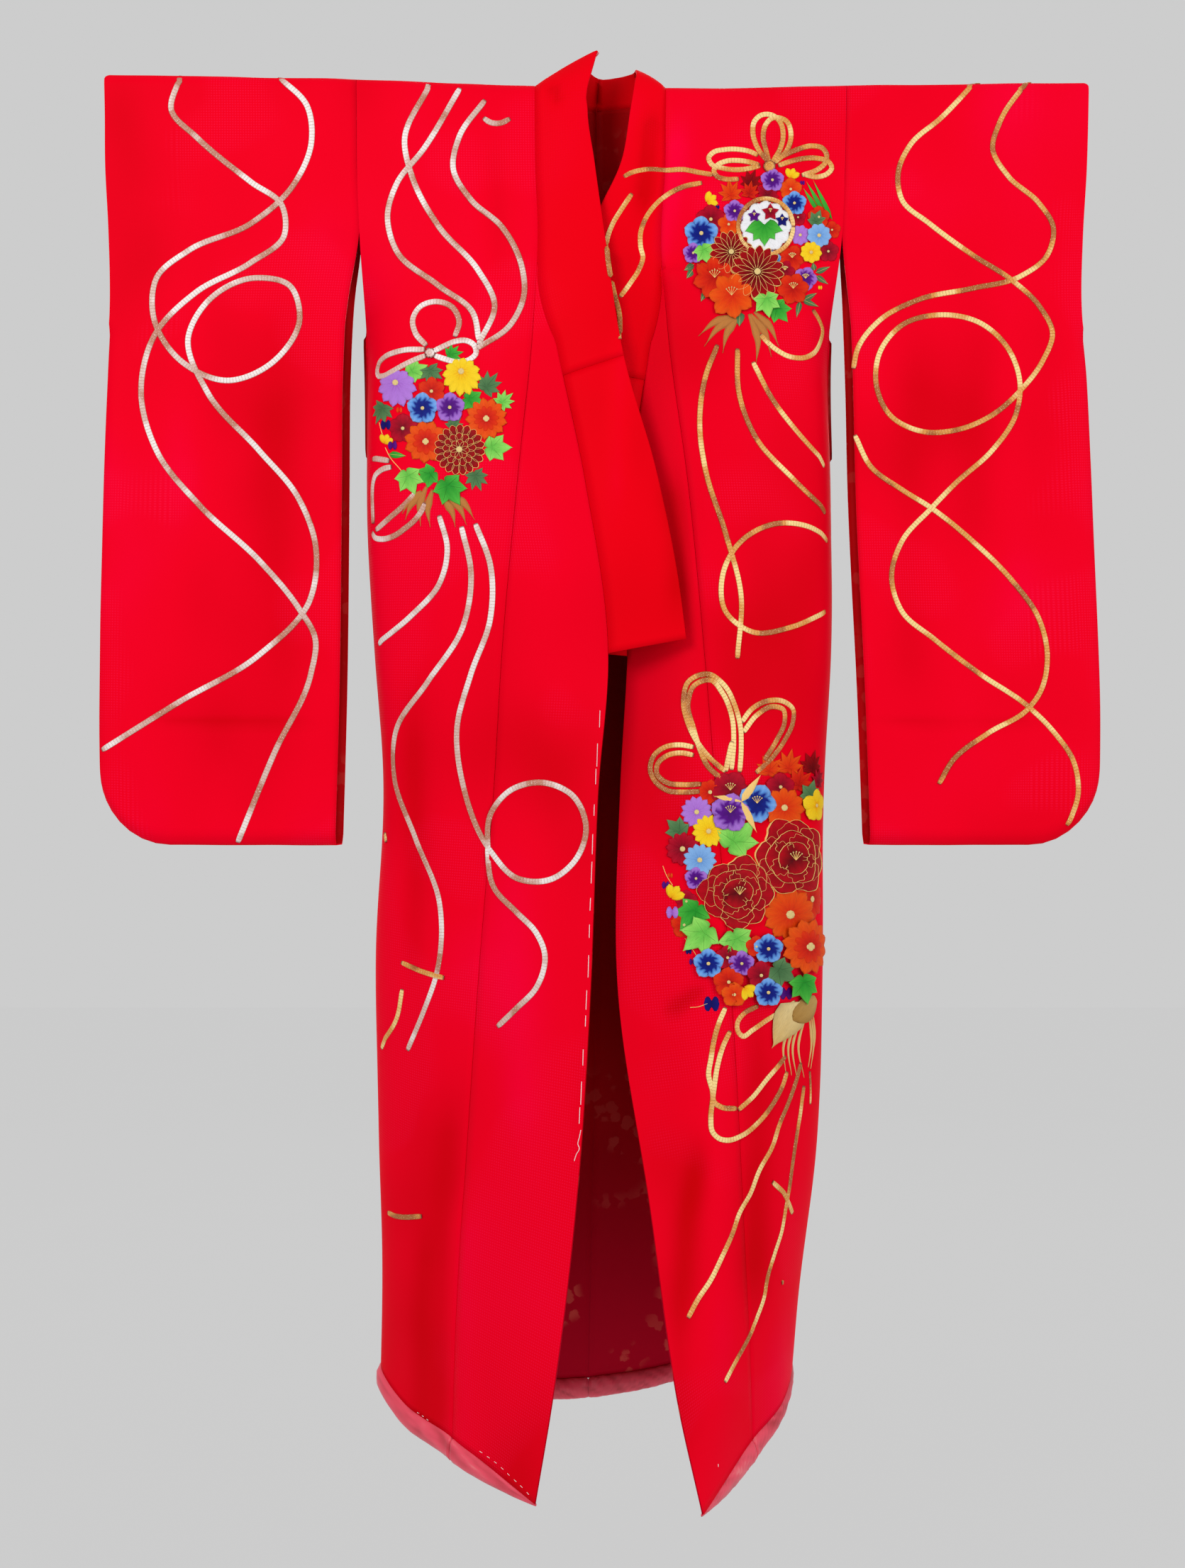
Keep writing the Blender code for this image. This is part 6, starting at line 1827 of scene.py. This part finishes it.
EDGE_ROOM = 0.35  # how far in from the edge the tacking stays, cm
FRONT_EDGE = ((0.5, 84.5), (0.3, 91.4), (0.1, 98.3), (-0.1, 105.7), (-0.4, 113.2), (-0.6, 120.6), (-0.9, 128),
              (-1.1, 135.5), (-1.4, 142.9))
for k in range(14):
    start = (k + 0.15 + 0.1 * math.sin(k * 2.3)) / 14
    long = (0.55 + 0.2 * math.sin(k * 1.7)) / 14
    stitch = [on_line(FRONT_EDGE, start), on_line(FRONT_EDGE, start + long)]
    inward = 0.0
    while not all(lands("front", x - inward + EDGE_ROOM, down) for x, down in stitch):
        inward += 0.1
    tacking.strip([(x - inward, down) for x, down in stitch], 0.09, 0.0005, 0, 0.0003)
LOOSE_END = ((-2.1, 142), (-2.3, 143), (-2.5, 143.9), (-2.3, 144.5), (-2.7, 145.3), (-3, 146.2))
tacking.strip(LOOSE_END, 0.08, 0.0006, 0, 0.0003, step=0.2)
HEM_RUNS = (
    (((-24.4, 180.2), (-23.5, 180.8), (-22.5, 181.6)), 3),
    (((-16, 185.4), (-13.4, 187.3), (-11.6, 189), (-10, 190.5), (-8.8, 191.8)), 8),
    (((23.9, 182.5), (21.5, 185), (19.9, 187.1), (19.1, 188.4)), 5),
    (((18.2, 187.1), (18.7, 188.2), (19.4, 189.1)), 2),
)
for line, many in HEM_RUNS:
    for k in range(many):
        start = (k + 0.2 + 0.12 * math.sin(k * 3.1)) / many
        stitch = on_line(line, start), on_line(line, start + 0.36 / many)
        if all(lands("front", *spot) for spot in stitch):
            tacking.strip(stitch, 0.05, 0.0004, 0, 0.0003, step=0.2)
tacking.made("white_tacking", [WHITE], "silver_thread")


# ---- stage, light and camera -------------------------------------------------------------------------
FLOOR_LEVEL = -2.12
FLOOR_GLOW = (0.585, 0.585, 0.585, 1.0)
BACKDROP = (0.61, 0.61, 0.61, 1.0)
# where each lamp stands, what it is aimed at, its size and its power in watts
LAMPS = (
    ("key", (-2.0, -3.2, 0.9), (0.0, 0.0, -0.9), (1.5, 1.5), 55),
    ("fill", (2.6, -2.8, -0.2), (0.0, 0.0, -0.9), (2.2, 2.6), 37),
    ("behind", (0.4, 3.2, 0.8), (0.0, 0.0, -0.9), (2.6, 2.4), 60),
)


def stage_and_light():
    bpy.ops.object.select_all(action="DESELECT")
    bpy.ops.mesh.primitive_plane_add(size=16, location=(0, 0, FLOOR_LEVEL))
    floor = bpy.context.active_object
    floor.name = "pale_floor"
    pale = FinishMaker("pale_floor", 1.0, 0.0, 0.0)
    grain = pale.cloud(pale.here(), 3.0)
    pale.finish(pale.mixed(grain, dye(40, 40, 40), dye(44, 44, 44)))
    pale.shader.inputs["Emission Color"].default_value = FLOOR_GLOW
    pale.shader.inputs["Emission Strength"].default_value = 1.0
    floor.data.materials.append(pale.material)
    world = bpy.data.worlds.new("studio")
    bpy.context.scene.world = world
    world.use_nodes = True
    world.node_tree.nodes["Background"].inputs[0].default_value = BACKDROP
    for name, spot, aim, size, power in LAMPS:
        data = bpy.data.lights.new(name, "AREA")
        data.shape = "RECTANGLE"
        data.size, data.size_y = size
        data.energy = power
        lamp = bpy.data.objects.new(name, data)
        bpy.context.scene.collection.objects.link(lamp)
        lamp.location = spot
        lamp.rotation_euler = (Vector(aim) - Vector(spot)).to_track_quat("-Z", "Y").to_euler()
    data = bpy.data.cameras.new("camera")
    data.sensor_width = 36.0
    data.lens = data.sensor_width * EYE_DISTANCE / FRAME_HEIGHT
    camera = bpy.data.objects.new("camera", data)
    bpy.context.scene.collection.objects.link(camera)
    camera.location = EYES["front"]
    camera.rotation_euler = (math.radians(90), 0, 0)
    bpy.context.scene.camera = camera
    bpy.context.scene.view_settings.view_transform = "Standard"


stage_and_light()

# ---- what stands for what ---------------------------------------------------------------------------
SHEETS = (
    ("silk_body_", "body_", (0.335, 3.60), 1.02, "scarlet_silk"),
    ("silk_overlap_", "overlap_", (0.155, 1.56), 0.20, "scarlet_silk"),
    ("silk_neckband_", "neckband_", (0.10, 0.38), None, "scarlet_silk"),
    ("silk_sleeve_", "sleeve_", (0.335, 2.068), None, "scarlet_silk"),
    ("fine_lining_", "lining_", (0.49, 3.60), 1.22, "madder_lining"),
    ("fine_sleeve_lining_", "sleeve_lining_", (0.335, 2.068), None, "madder_lining"),
)
for prefix, node, flat, area, slot in SHEETS:
    for side in SIDES:
        piece = walls[prefix + side]
        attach(piece, "root")
        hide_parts(node + side)
collar = walls["silk_over_collar"]
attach(collar, "root")
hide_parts("over_collar")
for roll, node in rolls.values():
    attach(roll, "root")
    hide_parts(node)
for piece, slot in needlework:
    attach(piece, "root")
